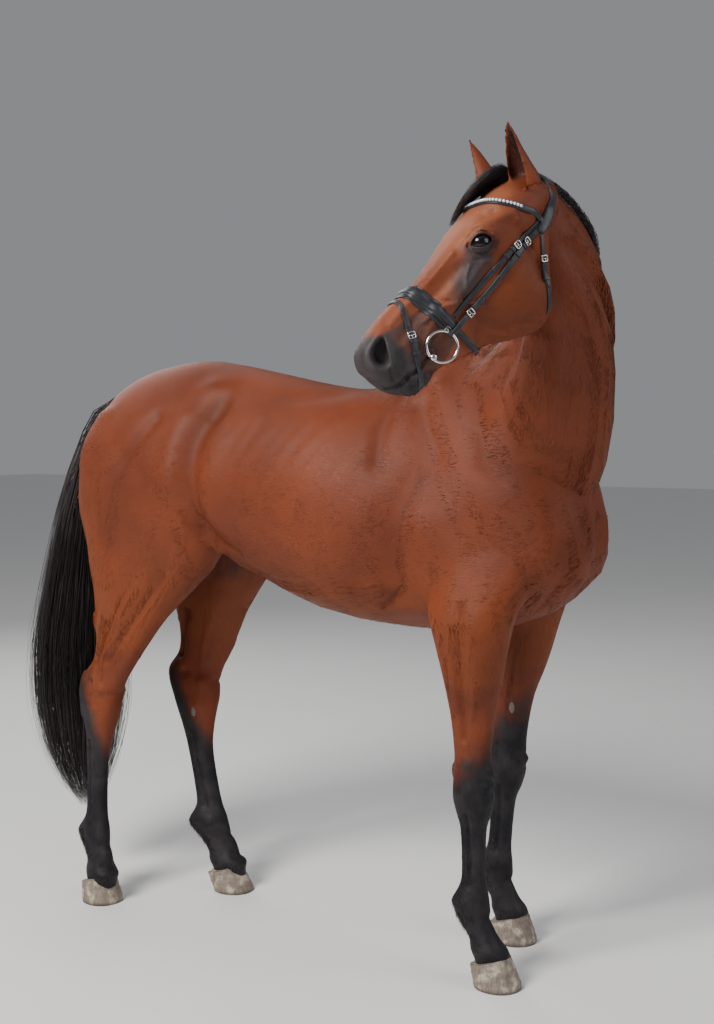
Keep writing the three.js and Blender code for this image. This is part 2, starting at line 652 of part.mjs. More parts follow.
// Bridle nodes are kept clear of every one laid before them.
let laid = union([grownFlesh, ...Object.values(sides).map((side) => earSolid(side, GAP))]);
function addTack(name, body, grown, material) {
  addNode(name, body.subtract(laid), material);
  laid = laid.add(grown);
}

function addStrap(name, path, { width, thick = 3.6, lift = 2.4, closed = false, material = LEATHER }) {
  const sizes = { width, thick, lift, closed };
  addTack(name, strap(path, sizes), strap(path, sizes, GAP), material);
}

function addBuckle(name, path, place, { width = 20, long = 18, lift = 6.5 }) {
  const spot = path[Math.round(place * (path.length - 1))];
  addTack(name, buckle(spot, width, long, lift), buckle(spot, width, long, lift, GAP), STEEL);
}

// The left half of a path, then the points over the middle, then the right half.
const bothSides = (half, middle) => [
  ...half.map((p) => beside(1, p)),
  ...middle,
  ...half.toReversed().map((p) => beside(-1, p)),
];

function addBands() {
  const turn = (count) => range(count + 1).map((i) => [(360 * i) / count]);
  const noseband = trail(turn(10), ([angle]) => around(384, 0.02, -105, angle), true);
  addStrap("noseband", noseband, { width: (t) => 26 + 12 * Math.abs(Math.cos(t * Math.PI)) ** 3, thick: 7, closed: true });
  const flash = trail(turn(9), ([angle]) => around(480, -0.66, -92, angle), true);
  addStrap("flash_strap", flash, { width: 14, lift: 3.4, closed: true });
  addBuckle("flash_buckle", flash, 0.2, { lift: 7.5 });
}

// A path up one side of the head, over it and down the other.
function overHead(rows, s, bow, middle) {
  const over = [66, 48, 30, 10, -10, -30, -48, -66].map((angle) => around(s, bow, middle, angle));
  return evened(bothSides(rows, over));
}
const browPath = () => overHead([[56, -140], [58, -122], [64, -104], [72, -88]], 72, 0.55, -90);

// The browband carries a row of clear stones, set in one strip along its middle.
function addBrowbandAndHeadpiece() {
  const brow = browPath();
  addStrap("browband", brow, { width: 15, thick: 5, lift: 3.6 });
  addStrap("browband_stones", brow.slice(3, -3), { width: 6, thick: 2.6, lift: 8.6 + GAP, material: STONES });
  addStrap("headpiece", overHead([[80, -148], [58, -148], [36, -144], [12, -136], [-10, -124]], -27, 0, -105), {
    width: (t) => 26 + 8 * Math.sin(t * Math.PI),
    thick: 6,
    lift: 5,
  });
}

function addCheekStraps(name, side) {
  const hanger = trail([[98, -126], [146, -122], [190, -120], [235, -120], [300, -121], [354, -124]], (p) => beside(side, p));
  addStrap(`noseband_cheek_${name}`, hanger, { width: 12 });
  addBuckle(`noseband_buckle_${name}`, hanger, 0.2, {});
  const cheek = trail([[98, -142], [150, -137], [200, -139], [255, -144], [300, -146], [345, -145], [408, -145]], (p) => beside(side, p));
  addStrap(`bit_cheek_${name}`, cheek, { width: 13, lift: (t) => 2.4 + 8.2 * smooth((t - 0.66) / 0.22) });
  addBuckle(`cheek_buckle_${name}`, cheek, 0.1, {});
  addBuckle(`bit_buckle_${name}`, cheek, 0.78, { lift: 12 });
}

function addBitRing(name, side) {
  const centre = onHead(441, side * 62, -144);
  const [u, v] = [headWay(1, side * -0.1, 0), headWay(0, side * -0.12, 1)];
  const boss = (grow) => ball(onHead(474, side * 60, -144), [u, v, headWay(0, side, 0)], [8 + grow, 8 + grow, 10 + grow], 6, 4);
  const whole = (grow) => hoop(centre, u, v, 36, 6.4 + 2 * grow).add(boss(grow));
  addTack(`bit_ring_${name}`, whole(0), whole(GAP), STEEL);
}

function addThroatlatch(name, side) {
  const rows = [[92, -166], [108, -182], [124, -202], [142, -226], [162, -252], [184, -278], [202, -294]];
  addStrap(`throatlatch_${name}`, evened(rows.map((p) => beside(side, p))), { width: 11 });
}

function addBridle() {
  addBands();
  addBrowbandAndHeadpiece();
  Object.entries(sides).forEach(([name, side]) => {
    addCheekStraps(name, side);
    addBitRing(name, side);
    addThroatlatch(name, side);
  });
}

addFlesh();
addHoovesEyesAndEars();
addHair();
addBridle();
addForelock();

// The origin goes under the middle of the whole horse.
const box = new THREE.Box3().setFromObject(horse);
const middle = box.getCenter(vec(0, 0, 0));
horse.children.forEach((mesh) => mesh.geometry.translate(-middle.x, -middle.y, -box.min.z));

export default horse;
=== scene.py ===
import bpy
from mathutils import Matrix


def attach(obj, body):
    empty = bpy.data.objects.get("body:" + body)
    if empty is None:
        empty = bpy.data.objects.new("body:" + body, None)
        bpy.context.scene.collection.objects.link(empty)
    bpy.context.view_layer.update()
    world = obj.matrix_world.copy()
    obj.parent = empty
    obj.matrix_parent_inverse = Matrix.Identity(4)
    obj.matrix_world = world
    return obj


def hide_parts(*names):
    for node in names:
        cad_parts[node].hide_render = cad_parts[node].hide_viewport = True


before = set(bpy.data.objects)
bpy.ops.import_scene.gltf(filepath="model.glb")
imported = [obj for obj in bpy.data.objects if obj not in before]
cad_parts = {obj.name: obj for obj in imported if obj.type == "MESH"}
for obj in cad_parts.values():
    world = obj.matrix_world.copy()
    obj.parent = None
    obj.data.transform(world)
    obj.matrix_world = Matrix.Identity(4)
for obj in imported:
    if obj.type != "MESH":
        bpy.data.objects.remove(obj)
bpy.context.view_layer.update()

import copy
import math

import bmesh
import bpy
import numpy as np
from bpy.props import FloatProperty, FloatVectorProperty, IntProperty, PointerProperty
from mathutils import Vector
from mathutils.bvhtree import BVHTree

bl_info = {
    "name": "Bay horse",
    "version": (1, 0, 0),
    "blender": (4, 5, 0),
    "location": "3D View > Sidebar > Horse",
    "description": "A life-size bay horse with its head turned back, in a snaffle bridle",
    "category": "Object",
}

# ---------------------------------------------------------------- the body's own measures, in millimetres
# The horse faces +X and its left is +Y. TRUNK_AT is where the middle of the trunk stands in the frame.
TRUNK_AT = np.array([96.1, 222.3, 0.0])

# Trunk sections: x, top, bottom, height of the widest level, half width, top shape, bottom shape.
TRUNK = [
    (-790, 1470, 1330, 1400, 60, 2, 2),
    (-750, 1545, 1240, 1390, 130, 2, 2),
    (-680, 1590, 1160, 1370, 195, 2, 2),
    (-580, 1628, 1120, 1350, 240, 1.9, 2),
    (-430, 1650, 1095, 1330, 262, 1.8, 2),
    (-300, 1636, 1080, 1310, 262, 1.8, 2.1),
    (-160, 1608, 1000, 1290, 262, 2, 2.2),
    (0, 1575, 935, 1255, 282, 2.1, 2.2),
    (140, 1556, 905, 1225, 290, 2.1, 2.2),
    (270, 1572, 892, 1210, 272, 1.8, 2.1),
    (380, 1640, 888, 1210, 245, 1.5, 2),
    (470, 1662, 890, 1215, 228, 1.45, 2),
    (580, 1640, 905, 1220, 215, 1.55, 2),
    (680, 1560, 940, 1215, 205, 1.8, 2),
    (755, 1440, 980, 1200, 180, 2, 2),
    (812, 1320, 1040, 1180, 130, 2, 2),
    (840, 1240, 1100, 1170, 65, 2, 2),
]
SHOULDER_POINT = {"at": (708, 128, 1150), "radii": (100, 74, 125)}

# Neck: step to here, heading, slope, crest depth, throat depth, half width, crest shape, throat shape.
NECK_START = (538, 0, 1330)
NECK = [
    (0, 0, 46, 330, 300, 195, 1.5, 2.1),
    (125, -5, 49, 290, 268, 178, 1.5, 2.1),
    (125, -14, 52, 245, 230, 156, 1.5, 2.1),
    (120, -28, 55, 205, 188, 128, 1.6, 2.1),
    (120, -47, 57, 168, 165, 108, 1.7, 2.1),
    (110, -70, 56, 126, 150, 92, 1.8, 2.1),
    (100, -92, 51, 92, 138, 82, 1.9, 2.1),
    (90, -108, 42, 74, 122, 76, 2, 2),
    (65, -120, 32, 64, 104, 70, 2, 2),
    (50, -128, 24, 56, 88, 62, 2, 2),
]

# The head's frame: the poll, then the way the nose points.
POLL = np.array([767.0, -437.0, 2052.0])
HEAD_YAW, HEAD_PITCH, HEAD_ROLL = -129, -49.2, 1.2  # degrees

# Head sections: distance from the poll, then (height out of the nose's line, half width) round one side.
HEAD = [
    (-50, (-92, 0, -93, 16, -97, 30, -107, 38, -116, 38, -126, 34, -136, 24, -141, 12, -142, 0)),
    (-24, (-52, 0, -54, 32, -64, 58, -88, 72, -108, 72, -130, 66, -150, 50, -163, 28, -166, 0)),
    (5, (-32, 0, -34, 38, -48, 66, -75, 82, -102, 82, -130, 76, -155, 62, -172, 36, -176, 0)),
    (45, (-16, 0, -19, 44, -32, 76, -60, 91, -92, 90, -125, 84, -155, 72, -178, 42, -182, 0)),
    (95, (-9, 0, -12, 50, -24, 84, -52, 99, -90, 96, -130, 90, -168, 79, -214, 50, -208, 0)),
    (145, (-5, 0, -8, 54, -19, 88, -48, 103, -88, 98, -135, 90, -190, 78, -262, 48, -240, 0)),
    (195, (-5, 0, -8, 52, -20, 84, -52, 104, -88, 94, -140, 86, -216, 73, -300, 44, -274, 0)),
    (245, (-8, 0, -10, 44, -22, 66, -55, 84, -88, 86, -140, 80, -220, 68, -304, 40, -278, 0)),
    (300, (-13, 0, -15, 36, -26, 54, -56, 66, -84, 76, -130, 68, -198, 55, -275, 34, -254, 0)),
    (355, (-14, 0, -16, 30, -28, 44, -58, 54, -84, 64, -120, 56, -170, 46, -236, 32, -222, 0)),
    (410, (-6, 0, -9, 28, -22, 40, -52, 48, -80, 54, -110, 50, -150, 44, -206, 30, -198, 0)),
    (455, (-1, 0, -4, 26, -16, 38, -45, 48, -72, 52, -100, 52, -138, 46, -183, 30, -178, 0)),
    (500, (-1, 0, -4, 26, -16, 40, -42, 52, -68, 56, -98, 55, -136, 46, -182, 28, -184, 0)),
    (535, (-5, 0, -8, 30, -20, 46, -42, 56, -68, 58, -100, 54, -138, 45, -182, 28, -186, 0)),
    (562, (-18, 0, -21, 32, -30, 46, -48, 56, -72, 56, -100, 50, -132, 41, -166, 26, -170, 0)),
    (584, (-42, 0, -44, 26, -50, 38, -60, 46, -76, 46, -98, 42, -122, 34, -142, 20, -145, 0)),
    (597, (-72, 0, -73, 12, -76, 19, -82, 24, -90, 25, -98, 22, -108, 17, -116, 10, -117, 0)),
]

EAR_LENGTH = 158
EAR_WALL = 6.5
# Each ear's root on the head, the way it stands, the way its cup opens and how far it bows sideways.
EAR_SEATS = {
    1: {"at": (19, 71, -58), "up": (-0.447, 0.205, 0.872), "open": (0.92, 0.24, 0.38), "bow": -10},
    -1: {"at": (33, -73, -45), "up": (-0.57, -0.26, 0.8), "open": (0.6, -0.8, 0.3), "bow": -4},
}
# Ear sections: share of the length, half width, depth of the cup, degrees round to where it closes.
EAR = [
    (0, 38, 28, 150),
    (0.15, 39, 30, 138),
    (0.34, 32, 27, 126),
    (0.55, 24, 21, 116),
    (0.75, 17, 15, 108),
    (0.9, 10, 9, 98),
    (1, 4, 3.5, 85),
]

# Leg sections of a left leg: height, back, front, inner side, outer side, shape.
FORE = [
    (1200, 520, 770, 40, 190, 2.2),
    (1080, 455, 730, 60, 222, 2.2),
    (1000, 428, 698, 80, 240, 2.2),
    (940, 440, 674, 92, 254, 2.1),
    (870, 458, 658, 102, 247, 2.1),
    (790, 475, 641, 108, 232, 2.1),
    (700, 488, 616, 116, 210, 2.1),
    (620, 496, 606, 120, 202, 2.1),
    (560, 500, 603, 118, 204, 2.3),
    (515, 497, 607, 114, 207, 2.6),
    (478, 497, 607, 115, 207, 2.6),
    (440, 505, 600, 119, 203, 2.4),
    (400, 512, 588, 130, 190, 2.2),
    (330, 515, 585, 134, 186, 2.2),
    (265, 513, 586, 133, 187, 2.2),
    (225, 497, 592, 127, 193, 2.2),
    (190, 491, 597, 126, 194, 2.2),
    (155, 504, 603, 130, 190, 2.2),
    (120, 535, 622, 126, 194, 2.2),
    (92, 542, 646, 116, 204, 2.2),
    (66, 554, 652, 118, 202, 2.2),
    (40, 562, 650, 122, 198, 2.2),
]
HIND = [
    (1500, -740, -330, 40, 190, 2.1),
    (1400, -790, -265, 30, 235, 2.1),
    (1300, -800, -235, 25, 255, 2.1),
    (1200, -797, -235, 25, 255, 2.1),
    (1120, -780, -255, 35, 250, 2.1),
    (1040, -760, -290, 55, 240, 2.1),
    (960, -738, -370, 75, 228, 2.1),
    (880, -728, -450, 90, 216, 2.1),
    (800, -726, -510, 100, 206, 2.1),
    (730, -745, -560, 108, 200, 2.1),
    (680, -788, -598, 110, 198, 2.2),
    (640, -796, -620, 108, 202, 2.4),
    (590, -790, -632, 108, 202, 2.4),
    (545, -784, -650, 112, 196, 2.4),
    (495, -778, -668, 120, 188, 2.2),
    (430, -773, -686, 126, 184, 2.2),
    (330, -772, -690, 128, 182, 2.2),
    (260, -776, -688, 127, 183, 2.2),
    (220, -800, -680, 121, 189, 2.2),
    (185, -808, -676, 120, 190, 2.2),
    (150, -784, -666, 124, 186, 2.2),
    (118, -764, -656, 120, 190, 2.2),
    (92, -764, -640, 112, 198, 2.2),
    (66, -756, -648, 112, 198, 2.2),
    (40, -750, -652, 116, 194, 2.2),
]
# What fore and hind legs share: the hoof's step forward of the last section, the height its stride swings
# from, and the nodes of flesh.
LEG_KINDS = {
    "fore": {
        "table": FORE, "hoof_forward": 12, "pivot": 1000,
        "parts": ("forearm", "knee_and_cannon", "pastern"),
    },
    "hind": {
        "table": HIND, "hoof_forward": 2, "pivot": 1150,
        "parts": ("gaskin", "hock_and_cannon", "pastern"),
    },
}
# Where each leg stands: its side, how far forward and outward its foot is, and how far its toe turns out.
LEGS = {
    name: {**LEG_KINDS[name[:4]], "side": side, "stride": stride, "spread": spread, "toe_out": toe_out}
    for name, side, stride, spread, toe_out in (
        ("fore_right", -1, 0, -20, 4),
        ("fore_left", 1, -98, 18, 4),
        ("hind_right", -1, 0, 10, 15),
        ("hind_left", 1, 288, -35, 12),
    )
}
# The dock's middle line and half width: x, z, half width.
DOCK = [
    (-640, 1540, 52),
    (-740, 1545, 44),
    (-790, 1500, 36),
    (-832, 1430, 30),
    (-862, 1340, 24),
    (-880, 1260, 14),
]
# The middle of the left eyeball on the head, and its radius.
EYE = {"s": 207, "side": 84, "out": -56, "radius": 24}

FLESH_NODES = ["head", "neck", "forequarters", "barrel", "hindquarters", "tail_dock", "ear_left", "ear_right"]
FLESH_NODES += [f"{name}_{part}" for name, leg in LEGS.items() for part in leg["parts"]]


# ---------------------------------------------------------------- places and axes
def metres(points):
    """Points in the body's own millimetres, in the frame's metres."""
    return (np.asarray(points, float) + TRUNK_AT) / 1000


def unit(v):
    """The same way with a length of one."""
    v = np.asarray(v, float)
    return v / np.linalg.norm(v)


def head_axes():
    """The ways along the head from poll to nose, to its left, and out of the line of the nose."""
    yaw, pitch, roll = (math.radians(a) for a in (HEAD_YAW, HEAD_PITCH, HEAD_ROLL))
    along = np.array([math.cos(yaw) * math.cos(pitch), math.sin(yaw) * math.cos(pitch), math.sin(pitch)])
    level = np.array([-math.sin(yaw), math.cos(yaw), 0.0])
    left = level * math.cos(roll) + np.cross(along, level) * math.sin(roll)
    return along, left, np.cross(along, left)


ALONG, LEFT, OUT = head_axes()
HEAD_AXES = np.stack([ALONG, LEFT, OUT])


def on_head(s, left, out):
    """A place given along the head from the poll, to its left, and out of the line of the nose."""
    return POLL + s * ALONG + left * LEFT + out * OUT


def head_places(points):
    """Places on the head: along it from the poll, to its left, and out of the line of the nose."""
    return (points - POLL) @ HEAD_AXES.T


def smooth(t):
    """Nought to one with an easy start and end."""
    t = np.clip(t, 0, 1)
    return t * t * (3 - 2 * t)


def hump(value, middle, width):
    """One at the middle, falling away to both sides."""
    return np.exp(-(((value - middle) / width) ** 2))


def place_leg(leg, points):
    """Points of a left leg's table, moved to where that leg stands."""
    points = np.atleast_2d(np.asarray(points, float))
    _, back, front, inner, outer, _ = leg["table"][-1]
    foot = np.array([(back + front) / 2, (inner + outer) / 2])
    turn = math.radians(leg["toe_out"]) * smooth((1000 - points[:, 2]) / 400)
    x, y = (points[:, :2] - foot).T
    low = np.maximum(0, 1 - points[:, 2] / leg["pivot"])
    moved_x = foot[0] + x * np.cos(turn) - y * np.sin(turn) + leg["stride"] * low
    moved_y = foot[1] + x * np.sin(turn) + y * np.cos(turn) + leg["spread"] * low
    return np.stack([moved_x, leg["side"] * moved_y, points[:, 2]], axis=1)


# ---------------------------------------------------------------- lofts
def fine_rows(rows, per):
    """Rows with a smooth run of new rows between each two."""
    rows = np.array(rows, float)
    padded = np.vstack([2 * rows[0] - rows[1], rows, 2 * rows[-1] - rows[-2]])
    made = []
    for a, b, c, d in zip(padded, padded[1:], padded[2:], padded[3:]):
        for t in np.arange(per) / per:
            straight = 2 * b + (c - a) * t
            bent = straight + (2 * a - 5 * b + 4 * c - d) * t**2
            made.append(0.5 * (bent + (3 * b - a - 3 * c + d) * t**3))
    return np.array([*made, rows[-1]])


def turns(count):
    """Angles evenly round a whole turn."""
    return np.arange(count) * 2 * math.pi / count


def ring(centre, side, up, across, above, below, shape_above, shape_below, count):
    """A closed curve with its own reach and shape on each side: 2 is an ellipse, more is squarer."""
    angle = turns(count)
    c, s = np.cos(angle), np.sin(angle)
    shape = np.where(s >= 0, shape_above, shape_below)
    wide = across * np.sign(c) * np.abs(c) ** (2 / shape)
    high = np.where(s >= 0, above, below) * np.sign(s) * np.abs(s) ** (2 / shape)
    centre, side, up = (np.asarray(v, float) for v in (centre, side, up))
    return centre + wide[:, None] * side + high[:, None] * up


def oval(centre, side, up, across, high, count, shape=2):
    """A ring that is alike above and below."""
    return ring(centre, side, up, across, high, high, shape, shape, count)


def loft(rings, closed=False):
    """Points and faces over a row of rings. An open run is closed to a point at each end."""
    rings = [np.asarray(r) for r in rings]
    count = len(rings[0])
    points = list(np.concatenate(rings))
    faces = []
    for r in range(len(rings) if closed else len(rings) - 1):
        a, b = r * count, ((r + 1) % len(rings)) * count
        for i in range(count):
            j = (i + 1) % count
            faces.append((a + i, a + j, b + j, b + i))
    if not closed:
        for r in (0, len(rings) - 1):
            centre = len(points)
            points.append(rings[r].mean(axis=0))
            for i in range(count):
                a, b = r * count + i, r * count + (i + 1) % count
                faces.append((a, b, centre) if r else (b, a, centre))
    return np.array(points), faces


def joined(shapes):
    """Several (points, faces) as one."""
    points, faces, start = [], [], 0
    for shape_points, shape_faces in shapes:
        points.append(shape_points)
        faces += [tuple(i + start for i in face) for face in shape_faces]
        start += len(shape_points)
    return np.concatenate(points), faces


def mesh_object(name, points, faces, smooth_shaded=True):
    """A new mesh object with outward faces, from points in metres."""
    mesh = bpy.data.meshes.new(name)
    mesh.from_pydata([tuple(p) for p in points], [], faces)
    mesh.validate()
    made = bpy.data.objects.new(name, mesh)
    bpy.context.scene.collection.objects.link(made)
    face_outward(made)
    if smooth_shaded:
        mesh.shade_smooth()
    return made


def face_outward(obj):
    """Turns all faces to look out of the mesh."""
    bm = bmesh.new()
    bm.from_mesh(obj.data)
    bmesh.ops.recalc_face_normals(bm, faces=bm.faces)
    bm.to_mesh(obj.data)
    bm.free()


def applied(obj):
    """The object with its modifiers made into plain mesh."""
    graph = bpy.context.evaluated_depsgraph_get()
    mesh = bpy.data.meshes.new_from_object(obj.evaluated_get(graph))
    obj.modifiers.clear()
    obj.data = mesh
    mesh.name = obj.name
    return obj


def points_of(mesh):
    """The mesh's points in metres."""
    points = np.empty(len(mesh.vertices) * 3, np.float32)
    mesh.vertices.foreach_get("co", points)
    return points.reshape(-1, 3).astype(float)


def places_of(mesh):
    """The mesh's points in the body's own millimetres."""
    return points_of(mesh) * 1000 - TRUNK_AT


def normals_of(mesh):
    normals = np.empty(len(mesh.vertices) * 3, np.float32)
    mesh.vertex_normals.foreach_get("vector", normals)
    return normals.reshape(-1, 3).astype(float)


def move_points(mesh, points):
    mesh.vertices.foreach_set("co", points.astype(np.float32).ravel())
    mesh.update()


# ---------------------------------------------------------------- flesh
BLEND_VOXEL = 0.012  # metres
LOWER_LEG_TOP = 960  # below it the legs keep their own fine shape


def trunk_shape():
    return loft([
        ring((x, 0, mid), (0, 1, 0), (0, 0, 1), half, top - mid, mid - low, above, below, 56)
        for x, top, low, mid, half, above, below in fine_rows(TRUNK, 4)
    ])


def shoulder_points():
    """The point of each shoulder, as an egg-shaped swelling."""
    x, y, z = SHOULDER_POINT["at"]
    wide, deep, high = SHOULDER_POINT["radii"]
    made = []
    for side in (1, -1):
        rings = []
        for lift in np.radians(np.arange(-80, 81, 16)):
            centre = (x, side * y, z + high * math.sin(lift))
            rings.append(oval(centre, (1, 0, 0), (0, 1, 0), wide * math.cos(lift), deep * math.cos(lift), 20))
        made.append(loft(rings))
    return joined(made)


def neck_axes(heading, slope):
    """The ways along the neck, up to its crest and to its right, from degrees of heading and slope."""
    h, e = math.radians(heading), math.radians(slope)
    along = np.array([math.cos(h) * math.cos(e), math.sin(h) * math.cos(e), math.sin(e)])
    crest = np.array([-math.cos(h) * math.sin(e), -math.sin(h) * math.sin(e), math.cos(e)])
    return along, crest, np.cross(crest, along)


def neck_rows(per=4):
    """Neck sections as place, heading, slope, crest depth, throat depth, half width and shapes."""
    at = np.array(NECK_START, float)
    rows = []
    for step, heading, slope, *sizes in NECK:
        at = at + step * neck_axes(heading, slope)[0]
        rows.append((*at, heading, slope, *sizes))
    return fine_rows(rows, per)


def neck_shape():
    rings = []
    for x, y, z, heading, slope, above, below, half, crest_shape, throat_shape in neck_rows():
        _, crest, side = neck_axes(heading, slope)
        rings.append(ring((x, y, z), side, crest, half, above, below, crest_shape, throat_shape, 48))
    return loft(rings)


def head_shape():
    """The head from its profiles, each rounded, mirrored and run right round."""
    rings = []
    for s, *profile in fine_rows([(s, *profile) for s, profile in HEAD], 3):
        half = np.array(profile).reshape(-1, 2)
        turned = half * (1, -1)
        whole = np.vstack([turned[1], half, turned[-2]])
        fine = fine_rows(whole, 3)[3:-3]
        left = [on_head(s, wide, out) for out, wide in fine]
        right = [on_head(s, -wide, out) for out, wide in fine[1:-1][::-1]]
        rings.append(left + right)
    return loft(rings)


def ear_axes(hand):
    """An ear's root, the way it stands, the way it faces and the way across it."""
    seat = EAR_SEATS[hand]
    root = on_head(*seat["at"])
    up = unit(np.array(seat["up"]) @ HEAD_AXES)
    face = np.array(seat["open"]) @ HEAD_AXES
    face = unit(face - face @ up * up)
    return root, up, face, np.cross(up, face)


def ear_middle(hand, share):
    """The middle of an ear at a share of its length, where it curves forward and outward."""
    root, up, face, across = ear_axes(hand)
    share = np.asarray(share, float)[..., None]
    bow = across * hand * EAR_SEATS[hand]["bow"] * np.sin(share * math.pi)
    return root + up * share * EAR_LENGTH + face * 14 * share**2 + bow


def ear_places(points, hand):
    """Places by an ear: share of its length, angle round it, where that closes, and which are near it."""
    root, up, face, across = ear_axes(hand)
    share = (points - root) @ up / EAR_LENGTH
    d = points - ear_middle(hand, share)
    rows = np.array(EAR)
    angle = np.degrees(np.arctan2(d @ across, -(d @ face)))
    near = (share > -0.1) & (share < 1.15) & (np.linalg.norm(d, axis=1) < 46)
    return share, angle, np.interp(share, rows[:, 0], rows[:, 3]), near


def ear_shape(hand, fat=2.0):
    """An ear grown fat by as much as the skin is drawn in again there."""
    _, _, face, across = ear_axes(hand)
    count = 19
    rings = []
    for share, half, deep, close in fine_rows(EAR, 4):
        centre = ear_middle(hand, share)
        angle = np.radians(np.linspace(-close, close, count))[:, None]
        skin = min(EAR_WALL, half * 0.5, deep * 0.6)
        cup = [
            centre + across * (half + grown) * np.sin(angle) - face * (deep + grown) * np.cos(angle)
            for grown in (fat, -skin - fat)
        ]
        rings.append(np.vstack([cup[0], cup[1][::-1]]))
    points, faces = loft(rings)
    end_fans = 4 * count
    faces = faces[:-end_fans]
    top = (len(rings) - 1) * 2 * count
    for i in range(count - 1):
        a, b, c, d = i, i + 1, 2 * count - 2 - i, 2 * count - 1 - i
        faces += [(b, a, d, c), (top + a, top + b, top + c, top + d)]
    return points[:-2], faces


def leg_shape(leg, top=math.inf):
    """A leg from its table, up to a height."""
    rings = []
    for z, back, front, inner, outer, shape in fine_rows(leg["table"], 4):
        if z <= top:
            middle = ((back + front) / 2, (inner + outer) / 2, z)
            line = oval(middle, (1, 0, 0), (0, 1, 0), (front - back) / 2, (outer - inner) / 2, 32, shape)
            rings.append(place_leg(leg, line))
    return loft(rings)


def dock_shape():
    return loft([
        oval((x, 0, z), (0, 1, 0), (0.7, 0, 0.7), half, half * 0.8, 20)
        for x, z, half in fine_rows(DOCK, 4)
    ])


def remeshed(name, shapes, voxel):
    """Shapes in millimetres grown together into one even mesh."""
    points, faces = joined(shapes)
    made = mesh_object(name, metres(points), faces)
    grow = made.modifiers.new("grow_together", "REMESH")
    grow.mode = "VOXEL"
    grow.voxel_size = voxel
    grow.adaptivity = 0
    return applied(made)


def evened(mesh, rounds, weights=1.0, pull=0.5, push=-0.53):
    """Moves points towards their neighbours and back, which rounds off creases but keeps the bulk."""
    edges = np.empty(len(mesh.edges) * 2, np.int32)
    mesh.edges.foreach_get("vertices", edges)
    a, b = edges.reshape(-1, 2).T
    ends, others = np.concatenate([a, b]), np.concatenate([b, a])
    points = points_of(mesh)
    count = np.maximum(np.bincount(ends, minlength=len(points)), 1)
    weights = np.broadcast_to(weights, len(points))
    for _ in range(rounds):
        for share in (pull, push):
            mean = [np.bincount(ends, points[others, k], len(points)) / count for k in range(3)]
            mean = np.stack(mean, axis=1)
            points = points + (mean - points) * (share * weights)[:, None]
    move_points(mesh, points)


def blended_trunk():
    """Trunk, neck and upper legs grown into one another, with the creases between them rounded."""
    uppers = [leg_shape(leg) for leg in LEGS.values()]
    shapes = [trunk_shape(), shoulder_points(), neck_shape(), dock_shape(), *uppers]
    body = remeshed("blended_trunk", shapes, BLEND_VOXEL)
    from_poll = np.linalg.norm(places_of(body.data) - POLL, axis=1)
    upper = smooth((points_of(body.data)[:, 2] - 0.78) / 0.3)
    evened(body.data, 40, upper * (0.2 + 0.8 * smooth((from_poll - 120) / 200)))
    shape = places_of(body.data), [tuple(p.vertices) for p in body.data.polygons]
    bpy.data.objects.remove(body)
    return shape


def flesh(voxel):
    """The whole skin before its detail: one even closed mesh."""
    lower = [leg_shape(leg, LOWER_LEG_TOP) for leg in LEGS.values()]
    ears = [ear_shape(hand) for hand in (1, -1)]
    body = remeshed("horse_skin", [blended_trunk(), head_shape(), *ears, *lower], voxel)
    evened(body.data, 6, 0.85)
    return body


def refined(obj, chosen):
    """Splits in two the edges whose two ends are both chosen."""
    bm = bmesh.new()
    bm.from_mesh(obj.data)
    edges = [e for e in bm.edges if chosen[e.verts[0].index] and chosen[e.verts[1].index]]
    bmesh.ops.subdivide_edges(bm, edges=edges, cuts=1, use_grid_fill=True)
    bm.to_mesh(obj.data)
    bm.free()


